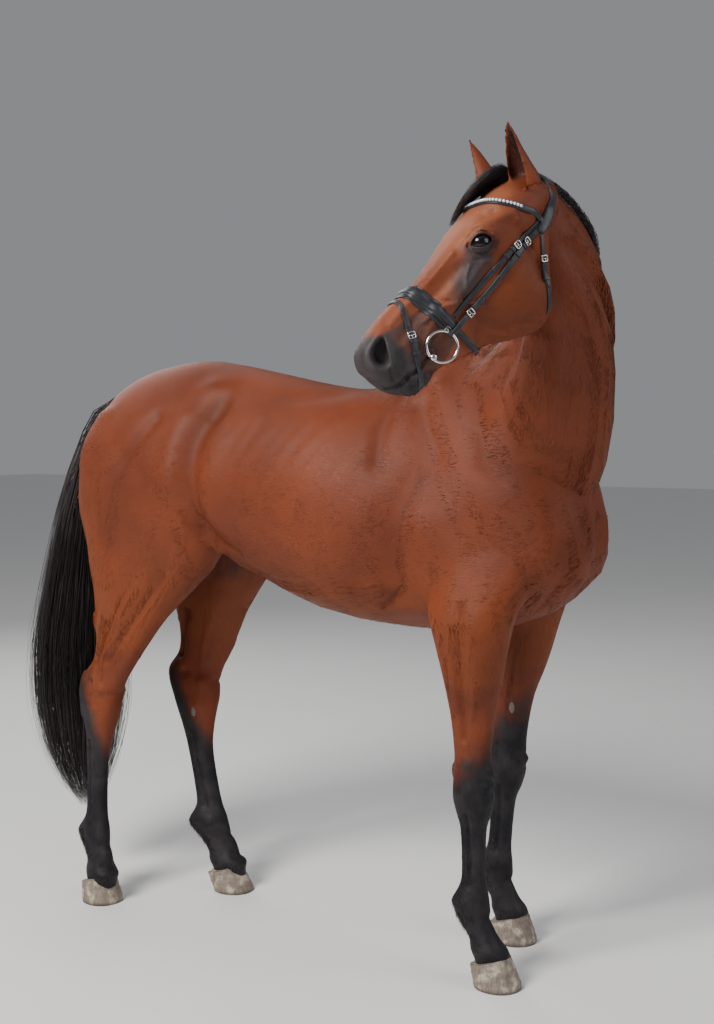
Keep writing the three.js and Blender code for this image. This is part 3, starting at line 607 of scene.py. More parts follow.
# ---------------------------------------------------------------- strokes laid on the skin
class Surface:
    """The skin as something to lay strokes and straps on. It speaks in the body's own millimetres."""

    def __init__(self, mesh, without_ears=False):
        points = places_of(mesh)
        faces = [tuple(p.vertices) for p in mesh.polygons]
        if without_ears:
            on_ear = np.zeros(len(points), bool)
            for hand in (1, -1):
                share, _, _, near = ear_places(points, hand)
                on_ear |= near & (share > 0.1)
            faces = [face for face in faces if not on_ear[face[0]]]
        self.tree = BVHTree.FromPolygons([tuple(p) for p in points], faces)

    def touch(self, start, inside):
        """The first contact on the way in, and the way out of the skin there."""
        way = Vector(inside) - Vector(start)
        at, normal, _, _ = self.tree.ray_cast(Vector(start), way.normalized())
        if at is None:
            return np.array(inside, float), unit(np.array(start) - np.array(inside))
        return np.array(at), np.array(normal)

    def side(self, hand, x, z):
        """On the trunk, seen square from one side."""
        return self.touch((x, hand * 1500, z), (x, 0, z))

    def front(self, y, z):
        """On the chest, seen from the front."""
        return self.touch((1500, y, z), (300, y, z))

    def rear(self, y, z):
        """On the buttocks, seen from behind."""
        return self.touch((-1500, y, z), (-300, y, z))

    def head(self, hand, s, out):
        """On the head, seen square from one of its own sides."""
        return self.touch(on_head(s, hand * 260, out), on_head(s, 0, out))

    def jaw(self, s, left):
        """Under the jaw, seen from below."""
        return self.touch(on_head(s, left, -500), on_head(s, left, -90))

    def neck(self, row, angle):
        """At a row of the neck, by the angle from its crest towards its left."""
        per = 8
        x, y, z, heading, slope = neck_rows(per)[int(round(row * per))][:5]
        _, crest, side = neck_axes(heading, slope)
        a = math.radians(angle)
        out = crest * math.cos(a) - side * math.sin(a)
        centre = np.array([x, y, z])
        return self.touch(centre + out * 520, centre)

    def leg(self, leg, face, across, z):
        """On a leg, at its table's own place: face is outer, inner, front or back."""
        row = min(leg["table"], key=lambda r: abs(r[0] - z))
        _, back, front, inner, outer, _ = row
        middle_x, middle_y = (back + front) / 2, (inner + outer) / 2
        inside, start = {
            "outer": ((across, middle_y, z), (across, middle_y + 240, z)),
            "inner": ((across, middle_y, z), (across, middle_y - 110, z)),
            "front": ((middle_x, across, z), (middle_x + 300, across, z)),
            "back": ((middle_x, across, z), (middle_x - 300, across, z)),
        }[face]
        return self.touch(place_leg(leg, start)[0], place_leg(leg, inside)[0])


def line_distance(points, line):
    """Each point's distance to a run of straight pieces."""
    best = np.full(len(points), 1e9)
    if len(line) == 1:
        return np.linalg.norm(points - line[0], axis=1)
    for a, b in zip(line, line[1:]):
        way = b - a
        share = np.clip((points - a) @ way / max(way @ way, 1e-9), 0, 1)
        best = np.minimum(best, np.linalg.norm(points - a - share[:, None] * way, axis=1))
    return best


class Modeller:
    """Gathers raised and sunk strokes over the skin's points, in millimetres."""

    def __init__(self, obj):
        self.obj = obj
        self.points = places_of(obj.data)
        self.normals = normals_of(obj.data)
        self.surface = Surface(obj.data)
        self.height = np.zeros(len(self.points))

    def stroke(self, contacts, height, width):
        """A ridge (or a groove where height is below nought) along surface contacts."""
        line = np.array([at for at, _ in contacts])
        facing = np.mean([normal for _, normal in contacts], axis=0)
        low, high = line.min(axis=0) - 2.6 * width, line.max(axis=0) + 2.6 * width
        near = np.flatnonzero(np.all((self.points > low) & (self.points < high), axis=1))
        near = near[self.normals[near] @ facing > -0.25]
        if len(near):
            away = line_distance(self.points[near], line)
            self.height[near] += height * np.exp(-((away / width) ** 2))

    def along(self, view, path, height, width, *first):
        """A stroke whose corners are given in one of the surface's views, rounded off."""
        rows = fine_rows(path, 4) if len(path) > 1 else path
        self.stroke([view(*first, *row) for row in rows], height, width)

    def apply(self):
        """Writes the points back, moved out by the strokes' height."""
        move_points(self.obj.data, metres(self.points + self.normals * self.height[:, None]))


# Strokes on both sides of the trunk: height, width, then x and z of each corner.
TRUNK_STROKES = [
    (5, 46, [(-296, 1562)]),
    (-13, 44, [(-238, 1512)]),
    (-12, 37, [(-258, 1470), (-284, 1400), (-294, 1300), (-292, 1200), (-282, 1110)]),
    (3, 40, [(-204, 1400), (-222, 1300), (-230, 1200)]),
    (6, 40, [(-345, 1470), (-362, 1380), (-366, 1280), (-356, 1180)]),
    (6, 60, [(-205, 1200)]),
    (8, 16, [(-286, 1120), (-240, 1072), (-170, 1035)]),
    (-6, 16, [(-300, 1165), (-235, 1115), (-160, 1080)]),
    (-9, 24, [(425, 1310), (392, 1220), (374, 1130), (362, 1050)]),
    (9, 64, [(455, 1200), (470, 1120)]),
    (9, 34, [(502, 1085)]),
    (-7, 14, [(372, 1020), (330, 985), (290, 965)]),
    (-6, 26, [(-440, 1470), (-500, 1400), (-560, 1325), (-610, 1220), (-632, 1110)]),
    (3, 60, [(-500, 1490), (-590, 1380), (-660, 1260)]),
    (5, 60, [(-400, 1280), (-430, 1180)]),
    (7, 40, [(-325, 1100)]),
    (-5, 26, [(-372, 1150), (-392, 1080), (-430, 1010)]),
    (6, 26, [(430, 1560), (500, 1430), (570, 1300), (620, 1220)]),
    (-7, 30, [(392, 1500), (440, 1400), (478, 1290), (500, 1230)]),
    (-5, 30, [(560, 1480), (620, 1380), (665, 1290)]),
    (-6, 26, [(330, 1560), (300, 1450), (310, 1350)]),
    (-3, 40, [(120, 1540), (-60, 1530), (-200, 1560)]),
    (-4, 20, [(300, 1060), (120, 1010), (-60, 1010), (-180, 1040)]),
    (-3.5, 10, [(-575, 1150), (-610, 1128)]),
    (-3, 9, [(-580, 1118), (-618, 1096)]),
    (-4, 12, [(749, 1084), (705, 1033), (677, 987)]),
    (2.2, 7, [(330, 1035), (250, 1000), (150, 992), (60, 976), (-40, 990)]),
    (1.8, 6, [(150, 992), (90, 1040), (20, 1062)]),
    (2.0, 6, [(560, 1070), (540, 1010), (560, 950)]),
]
RIBS = {"count": 9, "spacing": 58, "ridge": 0.9, "groove": -1.0, "width": 20}
# How much the strokes' heights are raised.
BODY_RELIEF, HEAD_RELIEF, CHEST_SPREAD = 1.6, 1.6, 1.2

# Strokes on the right of the neck only, where it is bent in: height, width, x and z.
BENT_NECK_STROKES = [
    (-7, 16, [(553, 1535), (578, 1453), (602, 1373), (633, 1318)]),
    (-9, 14, [(640, 1600), (647, 1541), (666, 1469), (690, 1397)]),
    (-5, 12, [(672, 1560), (690, 1490), (712, 1430)]),
    (6, 24, [(700, 1600), (724, 1510), (742, 1420)]),
    (-5, 14, [(747, 1656), (753, 1601), (767, 1531), (775, 1440)]),
    (7, 34, [(820, 1600), (822, 1500), (806, 1400)]),
    (-7, 22, [(889, 1635), (881, 1530), (859, 1413), (820, 1294)]),
]

# Strokes on the neck by row and angle from the crest towards its left.
NECK_STROKES = [
    (-9, 26, [(1.6, 128), (3.0, 126), (4.5, 124), (6.2, 122)]),
    (8, 30, [(1.6, 104), (3.0, 104), (4.5, 106), (6.4, 106)]),
    (-6, 26, [(2.0, 74), (3.5, 76), (5.0, 80), (6.6, 84)]),
    (5, 30, [(1.8, 44), (3.5, 42), (5.2, 44)]),
    (-5, 20, [(2.0, 24), (3.6, 22), (5.2, 22), (7.0, 24)]),
    (-8, 20, [(7.6, 88), (7.9, 112), (8.0, 134)]),
]

# Strokes on both sides of the head: height, width, then distance along it and out of the nose's line.
HEAD_STROKES = [
    (3.6, 11, [(232, -90), (280, -96), (330, -101), (352, -104)]),
    (-2.6, 13, [(240, -112), (300, -120), (352, -124)]),
    (-4, 14, [(322, -118), (330, -160), (318, -205), (296, -245)]),
    (5, 52, [(205, -170), (240, -190)]),
    (6, 40, [(185, -252), (225, -275)]),
    (2.0, 3.4, [(262, -70), (290, -84), (316, -112), (330, -140)]),
    (4, 12, [(188, -20), (160, -34), (128, -52), (104, -66)]),
    (-6, 16, [(150, -18), (136, -26)]),
    (5, 11, [(110, -84)]),
    (3, 9, [(262, -24), (340, -28), (420, -24), (478, -24)]),
    (-3.5, 13, [(278, -56), (350, -58), (430, -56), (490, -60)]),
    (2.4, 4, [(292, -168), (318, -134), (342, -104), (380, -84), (424, -78)]),
    (1.8, 3.4, [(342, -104), (350, -78), (372, -60), (410, -50)]),
    (2.6, 9, [(392, -92), (440, -104), (478, -118)]),
    (-2.6, 8, [(420, -118), (470, -124)]),
    (-4.5, 4.6, [(594, -116), (572, -128), (540, -137), (508, -141), (478, -138)]),
    (2.2, 7, [(588, -108), (556, -120), (520, -128)]),
    (2.8, 7, [(576, -138), (545, -149), (508, -152)]),
    (-2.4, 3.4, [(470, -128), (463, -138), (468, -150)]),
    (-1.8, 3, [(458, -126), (451, -138), (456, -152)]),
    (4, 16, [(548, -176)]),
    (-5, 13, [(490, -178), (498, -170)]),
    (-2, 3, [(560, -88), (568, -100), (572, -112)]),
    (-1.6, 3, [(546, -92), (552, -106), (556, -118)]),
    (3, 14, [(80, -120), (60, -100)]),
    (-6, 14, [(252, -262), (232, -290)]),
    (-4, 12, [(118, -120), (126, -170), (150, -225)]),
    (-1.2, 5, [(168, -48), (176, -36), (192, -27), (214, -25)]),
    (-1.6, 4, [(186, -84), (206, -88), (228, -84), (244, -72)]),
]

# Strokes on a fore leg and a hind leg in the table's own places: face, height, width, across and z.
# Here across is x on the outer and inner faces and y on the front and back.
FORE_STROKES = [
    ("outer", 6, 30, [(596, 960), (604, 860), (590, 760)]),
    ("outer", -6, 11, [(560, 1000), (556, 860), (552, 740), (548, 640)]),
    ("outer", 4, 16, [(530, 960), (526, 840), (528, 720)]),
    ("outer", -4.5, 10, [(505, 900), (506, 800), (512, 690)]),
    ("inner", -5, 12, [(575, 940), (566, 820), (560, 700)]),
    ("inner", 4, 22, [(520, 930), (530, 820)]),
    ("outer", 2.0, 5, [(600, 930), (584, 850), (592, 780), (574, 690)]),
    ("inner", 2.4, 5, [(590, 960), (566, 880), (560, 790), (546, 700), (548, 600)]),
    ("both", 4.5, 17, [(556, 575)]),
    ("both", -3.5, 9, [(528, 560), (530, 520), (532, 480)]),
    ("back", 8, 14, [(162, 556), (162, 540)]),
    ("front", -2.2, 7, [(132, 532), (160, 528), (190, 532)]),
    ("front", -2.2, 7, [(134, 500), (160, 496), (188, 500)]),
    ("front", 3, 14, [(146, 548)]),
    ("front", 3, 14, [(176, 516)]),
    ("both", -5.5, 7.5, [(547, 440), (548, 380), (549, 310), (548, 255)]),
    ("both", -3, 5, [(530, 430), (531, 350), (530, 270)]),
    ("both", 4, 13, [(540, 212)]),
    ("back", 4, 17, [(146, 206)]),
    ("back", 4, 17, [(174, 206)]),
    ("back", -4, 8, [(160, 170), (160, 130)]),
    ("front", -3, 12, [(140, 172), (160, 168), (180, 172)]),
    ("outer", -3, 8, [(560, 160), (574, 130)]),
]
HIND_STROKES = [
    ("outer", 6, 40, [(-530, 960), (-570, 880)]),
    ("outer", -6, 12, [(-420, 1010), (-492, 920), (-560, 830), (-628, 740)]),
    ("outer", -5, 10, [(-520, 1010), (-590, 900), (-650, 800), (-688, 730)]),
    ("outer", -10, 13, [(-655, 860), (-700, 790), (-728, 722)]),
    ("inner", -9, 13, [(-655, 860), (-700, 790), (-728, 722)]),
    ("outer", 5, 9, [(-700, 880), (-738, 790), (-770, 715)]),
    ("inner", 4, 26, [(-500, 940), (-550, 860)]),
    ("outer", 2.2, 5.5, [(-500, 990), (-560, 900), (-580, 830), (-640, 770), (-660, 690)]),
    ("outer", 1.8, 5, [(-580, 830), (-540, 770), (-580, 700)]),
    ("inner", 2.6, 6, [(-470, 1000), (-540, 900), (-600, 800), (-650, 700), (-672, 600)]),
    ("outer", 6, 18, [(-662, 652)]),
    ("inner", 6, 18, [(-662, 640)]),
    ("outer", -6, 14, [(-716, 668), (-712, 632)]),
    ("inner", -6, 14, [(-716, 668)]),
    ("outer", 4, 14, [(-690, 590)]),
    ("inner", 6, 18, [(-688, 575)]),
    ("front", -2.6, 8, [(130, 640), (155, 634), (180, 640)]),
    ("outer", 3.5, 8, [(-770, 690), (-774, 620), (-768, 560)]),
    ("both", -6, 8, [(-735, 480), (-738, 400), (-738, 320), (-736, 255)]),
    ("both", -3, 5, [(-752, 460), (-754, 360), (-752, 280)]),
    ("both", 4, 13, [(-732, 208)]),
    ("back", 4, 18, [(141, 202)]),
    ("back", 4, 18, [(169, 202)]),
    ("back", -4, 8, [(155, 168), (155, 128)]),
    ("front", -3, 12, [(135, 170), (155, 166), (175, 170)]),
    ("front", -5, 15, [(130, 110), (155, 106), (180, 110)]),
]

# Strokes on the chest seen from the front and on the buttocks seen from behind: height, width, y and z.
# Those off the middle are repeated on the other side.
CHEST_STROKES = [
    (-9, 32, [(0, 1285), (0, 1180), (0, 1080), (0, 1000)]),
    (8, 52, [(72, 1150), (70, 1080)]),
    (-5, 18, [(86, 1262), (93, 1215), (80, 1151), (24, 1083)]),
    (-6, 12, [(126, 1138), (105, 1080), (102, 1030), (72, 966)]),
    (-5, 18, [(40, 960), (75, 990), (120, 1010)]),
]
REAR_STROKES = [
    (-22, 24, [(0, 1330), (0, 1220), (0, 1100), (0, 1000)]),
    (8, 50, [(110, 1330), (120, 1200)]),
    (-6, 20, [(190, 1300), (196, 1180), (180, 1060)]),
]


def mirrored(path):
    """A path seen from the front or behind, and its mirror image unless it runs down the middle."""
    return [[(hand * y, z) for y, z in path] for hand in ((1, -1) if any(y for y, _ in path) else (1,))]


def model_ribs(model, hand):
    """Ridges that slant back down the barrel, each with a groove behind it."""
    step = RIBS["spacing"]
    for k in range(RIBS["count"]):
        back = k * step
        high, low = (20 * math.sin(shift * k) for shift in (2.3, 4.1))
        ridge = [
            (265 - back, 1462 + high),
            (180 - back, 1340),
            (75 - back * 0.98, 1215),
            (30 - back * 0.93, 1090 - low),
        ]
        groove = [(x + step / 2, z) for x, z in ridge]
        fade = 1 - 0.35 * math.sin(1.7 * k + 0.4)
        for kind, path in (("ridge", ridge), ("groove", groove)):
            model.along(model.surface.side, path, RIBS[kind] * fade, RIBS["width"], hand)


def model_muscles(model):
    """Muscle, bone, vein and fold, each a stroke on the skin."""
    on = model.surface
    for hand in (1, -1):
        for height, width, path in TRUNK_STROKES:
            model.along(on.side, path, BODY_RELIEF * height, width, hand)
        model_ribs(model, hand)
        for height, width, path in NECK_STROKES:
            turned = [(row, hand * angle) for row, angle in path]
            model.along(on.neck, turned, BODY_RELIEF * height, width)
        for height, width, path in HEAD_STROKES:
            model.along(on.head, path, HEAD_RELIEF * height, width, hand)
    for height, width, path in BENT_NECK_STROKES:
        model.along(on.side, path, height, width, -1)
    for view, strokes, spread in ((on.front, CHEST_STROKES, CHEST_SPREAD), (on.rear, REAR_STROKES, 1)):
        for height, width, path in strokes:
            for line in mirrored(path):
                model.along(view, line, height, spread * width)
    for name, leg in LEGS.items():
        for face, height, width, path in FORE_STROKES if name.startswith("fore") else HIND_STROKES:
            for side in ("outer", "inner") if face == "both" else (face,):
                model.along(on.leg, path, BODY_RELIEF * height, width, leg, side)


# ---------------------------------------------------------------- lids, nostrils
# The opening's half length, its reach to each lid and its slant in degrees, then the lid's thickness and
# the pit's depth.
EYE_OPENING = {"long": 24.5, "upper": 16.0, "lower": 12.5, "tilt": -34, "lid": 3.0, "depth": 8.0}
# The nostril's middle on the head, its half length and width, its depth and how far its rim stands out.
NOSTRIL = {"s": 549, "side": 57, "out": -46, "long": 35, "wide": 19, "deep": 26, "rim": 7}


def eye_frame(hand):
    """The eye's middle and its own axes: along the face, up the face and straight out."""
    centre = on_head(EYE["s"], hand * EYE["side"], EYE["out"])
    out = unit(hand * LEFT * 0.96 + OUT * 0.24 + ALONG * 0.1)
    along = unit(ALONG - ALONG @ out * out)
    up = np.cross(along, out)
    return centre, np.stack([along, up * np.sign(up @ OUT), out])


def lid_reach(share):
    """How far the almond opening reaches at a share of its half length."""
    return np.clip(1 - share ** 2.1, 0, None) ** 0.72


def eye_places(points, hand):
    """Places by an eye: toward the nose and up from its middle, out of it, and how far inside the opening."""
    centre, axes = eye_frame(hand)
    along, up, depth = (axes @ (points - centre).T)
    tilt = math.radians(EYE_OPENING["tilt"])
    along, up = along * math.cos(tilt) - up * math.sin(tilt), up * math.cos(tilt) + along * math.sin(tilt)
    share = np.abs(along) / EYE_OPENING["long"]
    edge = np.where(up > 0, EYE_OPENING["upper"], EYE_OPENING["lower"]) * lid_reach(share)
    outside = -np.hypot(np.abs(along) - EYE_OPENING["long"], up)
    return along, up, depth, np.where(share < 1, edge - np.abs(up), outside)


def opened_eye(model, hand):
    """Wraps lids over the eyeball and sinks the skin inside the almond opening behind it."""
    along, up, depth, inside = eye_places(model.points, hand)
    flat = np.hypot(along, up)
    near = np.flatnonzero((flat < 56) & (depth > -6))
    along, up, depth, inside, flat = (values[near] for values in (along, up, depth, inside, flat))
    ball = np.sqrt(np.clip((EYE["radius"] + EYE_OPENING["lid"]) ** 2 - flat ** 2, 0, None))
    upper = smooth((up + 4) / 8)
    rim = 1.5 * hump(inside, -2.6, 2.0)
    crease = -2.6 * upper * hump(inside, -7.5, 2.0) - 1.4 * (1 - upper) * hump(inside, -7, 2.0)
    fold = 2.6 * upper * hump(inside, -12, 3.4) + 1.2 * (1 - upper) * hump(inside, -11, 3.4)
    second = -1.6 * hump(inside, -17, 2.6) * upper
    brow = 5.0 * np.exp(-((up - 28) / 11) ** 2 - ((along + 4) / 26) ** 2)
    corner = -3.0 * np.exp(-((along - 29) / 7) ** 2 - (up / 3.5) ** 2)
    wrap = smooth((36 - flat) / 16)
    shaped = depth * (1 - wrap) + np.maximum(ball, depth - 5) * wrap
    shaped = shaped + rim + crease + fold + second + brow + corner
    opening = smooth((inside + 0.5) / 1.8)
    pit = np.sqrt(np.clip(EYE["radius"] ** 2 - flat ** 2, 0, None)) - EYE_OPENING["depth"]
    shaped = shaped * (1 - opening) + pit * opening
    _, axes = eye_frame(hand)
    model.points[near] += (shaped - depth)[:, None] * axes[2]


def nostril_places(points, hand):
    """Places by a nostril: along it and across it as shares of the opening, its depth and its way out."""
    centre = on_head(NOSTRIL["s"], hand * NOSTRIL["side"], NOSTRIL["out"])
    out = unit(hand * LEFT * 0.84 + ALONG * 0.42 + OUT * 0.26)
    along = 0.7 * ALONG - 0.72 * OUT
    along = unit(along - along @ out * out)
    across = np.cross(out, along)
    across *= np.sign(across @ OUT)
    a, b, depth = np.stack([along, across, out]) @ (points - centre).T
    share = a / NOSTRIL["long"]
    bend = b - 8 * np.cos(np.clip(share, -1.3, 1.3) * 1.5) + 4
    wide = NOSTRIL["wide"] * (1 + 0.3 * np.clip(share, -1, 1))
    return share, bend / wide, depth, out


def opened_nostril(model, hand):
    """A comma-shaped pit with a raised rim on the side of the muzzle. How far in each point lies is given
    back for the painted shade inside it.
    """
    a, b, depth, out = nostril_places(model.points, hand)
    close = (np.abs(a) < 2) & (np.abs(b) < 3) & (np.abs(depth) < 48)
    near = np.flatnonzero(close & (model.normals @ out > 0.1))
    away = np.hypot(a[near], b[near])
    inside = smooth((1.06 - away) / 0.5)
    rim = np.exp(-(((away - 1.3) * 2.4) ** 2)) * (1 + 0.5 * np.clip(b[near], -1, 1))
    model.points[near] += (NOSTRIL["rim"] * rim - NOSTRIL["deep"] * inside)[:, None] * out
    return near, inside


# ---------------------------------------------------------------- the skin's unwrap and the lie of the coat
# Each chart is a part of the body unrolled about its own middle line: its rectangle on the map, then its
# length and its girth in metres.
CHARTS = {
    "trunk": ((0.01, 0.01, 0.60, 0.56), 1.75, 1.85),
    "neck": ((0.01, 0.58, 0.40, 0.99), 1.10, 1.30),
    "head": ((0.42, 0.58, 0.80, 0.99), 0.70, 0.70),
    "fore_right": ((0.62, 0.01, 0.80, 0.27), 1.0, 0.40),
    "fore_left": ((0.81, 0.01, 0.99, 0.27), 1.0, 0.40),
    "hind_right": ((0.62, 0.29, 0.80, 0.56), 1.2, 0.55),
    "hind_left": ((0.81, 0.29, 0.99, 0.56), 1.2, 0.55),
    "ear_right": ((0.82, 0.58, 0.90, 0.78), 0.16, 0.20),
    "ear_left": ((0.91, 0.58, 0.99, 0.78), 0.16, 0.20),
    "ear_right_inside": ((0.82, 0.79, 0.90, 0.99), 0.16, 0.20),
    "ear_left_inside": ((0.91, 0.79, 0.99, 0.99), 0.16, 0.20),
}
CHART_NAMES = list(CHARTS)
FIRST_LEG_CHART = CHART_NAMES.index("fore_right")
NECK_ROW_STEP = 26  # millimetres from one fine row of the neck to the next


def leg_middle(leg, heights):
    """The middle of a leg at each height."""
    heights = np.clip(heights, 0, 1400)
    rows = np.array(leg["table"])[::-1]
    back, front, inner, outer = (np.interp(heights, rows[:, 0], rows[:, k]) for k in (1, 2, 3, 4))
    return place_leg(leg, np.stack([(back + front) / 2, (inner + outer) / 2, heights], axis=1))


def neck_chart(points):
    """Which points are on the neck, with the way along it, the angle round it and the lie of the coat."""
    rows = neck_rows(4)
    centres = rows[:, :3]
    directions = np.array([neck_axes(heading, slope) for heading, slope in rows[:, 3:5]])
    nearest = ((centres ** 2).sum(axis=1) - 2 * points @ centres.T).argmin(axis=1)
    d = points - centres[nearest]
    way, crest, side = (directions[nearest, k] for k in range(3))
    reach = (d * way).sum(axis=1) + nearest * NECK_ROW_STEP
    near = (reach > 40) & (nearest > 6) & (points @ np.array([0.76, 0, 0.65]) > 1386)
    angle = np.arctan2((d * side).sum(axis=1), (d * -crest).sum(axis=1))
    return near, reach / 1000, angle, -way - 0.25 * crest


def head_chart(points):
    """The same for the head, where the coat parts on the forehead and lies down the face."""
    local = head_places(points)
    s, left, out = local.T
    near = (local @ np.array([0.785, 0, 0.62]) > 60 * 0.785 - 160 * 0.62) & (s > -60) & (out > -330)
    near &= (points[:, 2] > 1450) & (np.abs(left) < 150)
    up_top = (smooth((150 - s) / 120) * smooth((out + 70) / 50))[:, None]
    from_eye = np.sign(left)[:, None] * LEFT * 0.25
    lie = ALONG * (1 - 2 * up_top) + from_eye - OUT * 0.2
    return near, (s + 100) / 1000, np.arctan2(left, out + 100), lie


def leg_chart(points, name, leg):
    """The same for a leg, where the coat lies straight down."""
    top = 960 if name.startswith("fore") else 1010
    x, y, _ = (points - leg_middle(leg, points[:, 2])).T
    near = (np.hypot(x, y) < 175) & (points[:, 2] < top) & (points[:, 1] * leg["side"] > 0)
    lie = np.tile([0.0, 0.0, -1.0], (len(points), 1))
    return near, (1100 - points[:, 2]) / 1000, np.arctan2(x, -leg["side"] * y), lie


def unrolled(points, normals):
    """For points on the skin: the chart, the way along it, the angle round it, and the lie of the coat."""
    chart = np.zeros(len(points), int)
    along = (points[:, 0] + 800) / 1000
    angle = np.arctan2(points[:, 1], -(points[:, 2] - 1270))
    lie = np.tile([-1.0, 0.0, -0.18], (len(points), 1))
    charts = [neck_chart(points), head_chart(points)]
    charts += [leg_chart(points, name, leg) for name, leg in LEGS.items()]
    for number, (near, *own) in enumerate(charts, 1):
        chart[near] = number
        for values, new in zip((along, angle, lie), own):
            values[near] = new[near]
    for hand, name in ((1, "ear_left"), (-1, "ear_right")):
        share, turn, _, near = ear_places(points, hand)
        near &= (share > 0.06) & (head_places(points)[:, 0] < 75)
        inner = near & ((normals * (points - ear_middle(hand, share))).sum(axis=1) < 0)
        chart[near] = CHART_NAMES.index(name)
        chart[inner] = CHART_NAMES.index(f"{name}_inside")
        along[near] = share[near] * EAR_LENGTH / 1000
        angle[near] = np.radians(turn[near])
        lie[near] = ear_axes(hand)[1]
    lie -= (lie * normals).sum(axis=1)[:, None] * normals
    lie /= np.maximum(np.linalg.norm(lie, axis=1), 1e-6)[:, None]
    return chart, along, angle, lie


def map_places(chart, along, turn):
    """The place on the map of each unrolled point; turn is 0 to 1 round the chart."""
    left, low, right, high = np.array([CHARTS[name][0] for name in CHART_NAMES])[chart].T
    longs = np.array([CHARTS[name][1] for name in CHART_NAMES])[chart]
    u = left + (right - left) * np.clip(along / longs, 0, 1)
    v = low + (high - low) * np.clip(turn, 0, 1)
    return np.stack([u, v], axis=1)


def unwrap_skin(mesh, points, normals):
    """Gives the skin its map, and a second one in metres whose first axis follows the coat."""
    chart, along, angle, _ = unrolled(points, normals)
    corners = np.empty(len(mesh.loops), np.int32)
    mesh.loops.foreach_get("vertex_index", corners)
    starts = np.empty(len(mesh.polygons), np.int32)
    sizes = np.empty(len(mesh.polygons), np.int32)
    mesh.polygons.foreach_get("loop_start", starts)
    mesh.polygons.foreach_get("loop_total", sizes)
    first = np.repeat(corners[starts], sizes)
    turn = angle[corners] / (2 * math.pi) + 0.5
    first_turn = angle[first] / (2 * math.pi) + 0.5
    turn = turn + np.round(first_turn - turn)
    same = chart[corners] == chart[first]
    turn = np.where(same, turn, first_turn)
    way = np.where(same, along[corners], along[first])
    girth = np.array([CHARTS[name][2] for name in CHART_NAMES])[chart[first]]
    places = {
        "OFBake": map_places(chart[first], way, turn),
        "lie": np.stack([way, turn * girth + chart[first] * 3.0], axis=1),
    }
    for name, values in places.items():
        layer = mesh.uv_layers.new(name=name)
        layer.uv.foreach_set("vector", values.astype(np.float32).ravel())


# ---------------------------------------------------------------- markings of the coat
def face_marks(points, normals):
    """How dark the bare and black parts of the head are: muzzle, round the eyes, cheek patch and ears, with
    painted shade inside the ears' cups.
    """
    s, left, out = head_places(points).T
    edge = 506 - 150 * smooth((-out - 8) / 58) + 100 * smooth((-out - 160) / 35)
    muzzle = 0.62 * smooth((s - edge) / 60) + 0.38 * smooth((s - 488) / 50)
    below_eye = np.clip((s - 215) / 150, 0, 1)
    patch = (0.86 - 0.25 * below_eye) * hump(out + 74 + 30 * below_eye, 0, 46)
    dark = np.maximum(muzzle, patch * smooth((s - 180) / 44) * smooth((420 - s) / 110))
    for hand in (1, -1):
        _, up, _, inside = eye_places(points, hand)
        lids = np.maximum(smooth((inside + 4.5) / 3), 0.5 * smooth((inside + 15) / 8))
        lids = np.maximum(lids, (0.3 + 0.4 * smooth(0.5 - up / 30)) * smooth((inside + 36) / 26))
        dark = np.maximum(dark, (left * hand > 40) * lids)
        share, angle, shut, near = ear_places(points, hand)
        tip = 0.2 * smooth((share - 0.86) / 0.14)
        rim = 0.15 * (hump(np.abs(angle) - shut, 0, 17) * smooth((share - 0.15) / 0.2))
        # Painted shade inside the ear's cup, darkest down its middle.
        inner = smooth(0.5 - ((points - ear_middle(hand, share)) * normals).sum(axis=1) / 8)
        ear_cup_shade = inner * (0.42 + 0.5 * hump(angle, 0, 38)) * smooth((share - 0.02) / 0.1)
        dark = np.where(near, np.maximum.reduce([dark, tip, rim, ear_cup_shade]), dark)
    return dark


def leg_marks(points):
    """How black the legs are: up to the knee and hock, higher in front of the one and behind the other."""
    x, y, z = points.T
    black = np.zeros(len(points))
    for name, leg in LEGS.items():
        middle = leg_middle(leg, z)
        near = (np.hypot(x - middle[:, 0], y - middle[:, 1]) < 150) & (y * leg["side"] > 0) & (z < 900)
        front = np.clip((x - middle[:, 0]) / 50, -1, 1)
        if name.startswith("fore"):
            edge = 590 + 40 * front + (60 if name == "fore_left" else 0)
            level = smooth((edge + 165 - z) / 320)
        else:
            edge = 570 - 120 * front
            level = smooth((edge + 150 - z) / 300)
        black = np.where(near, np.maximum(black, level), black)
    return black


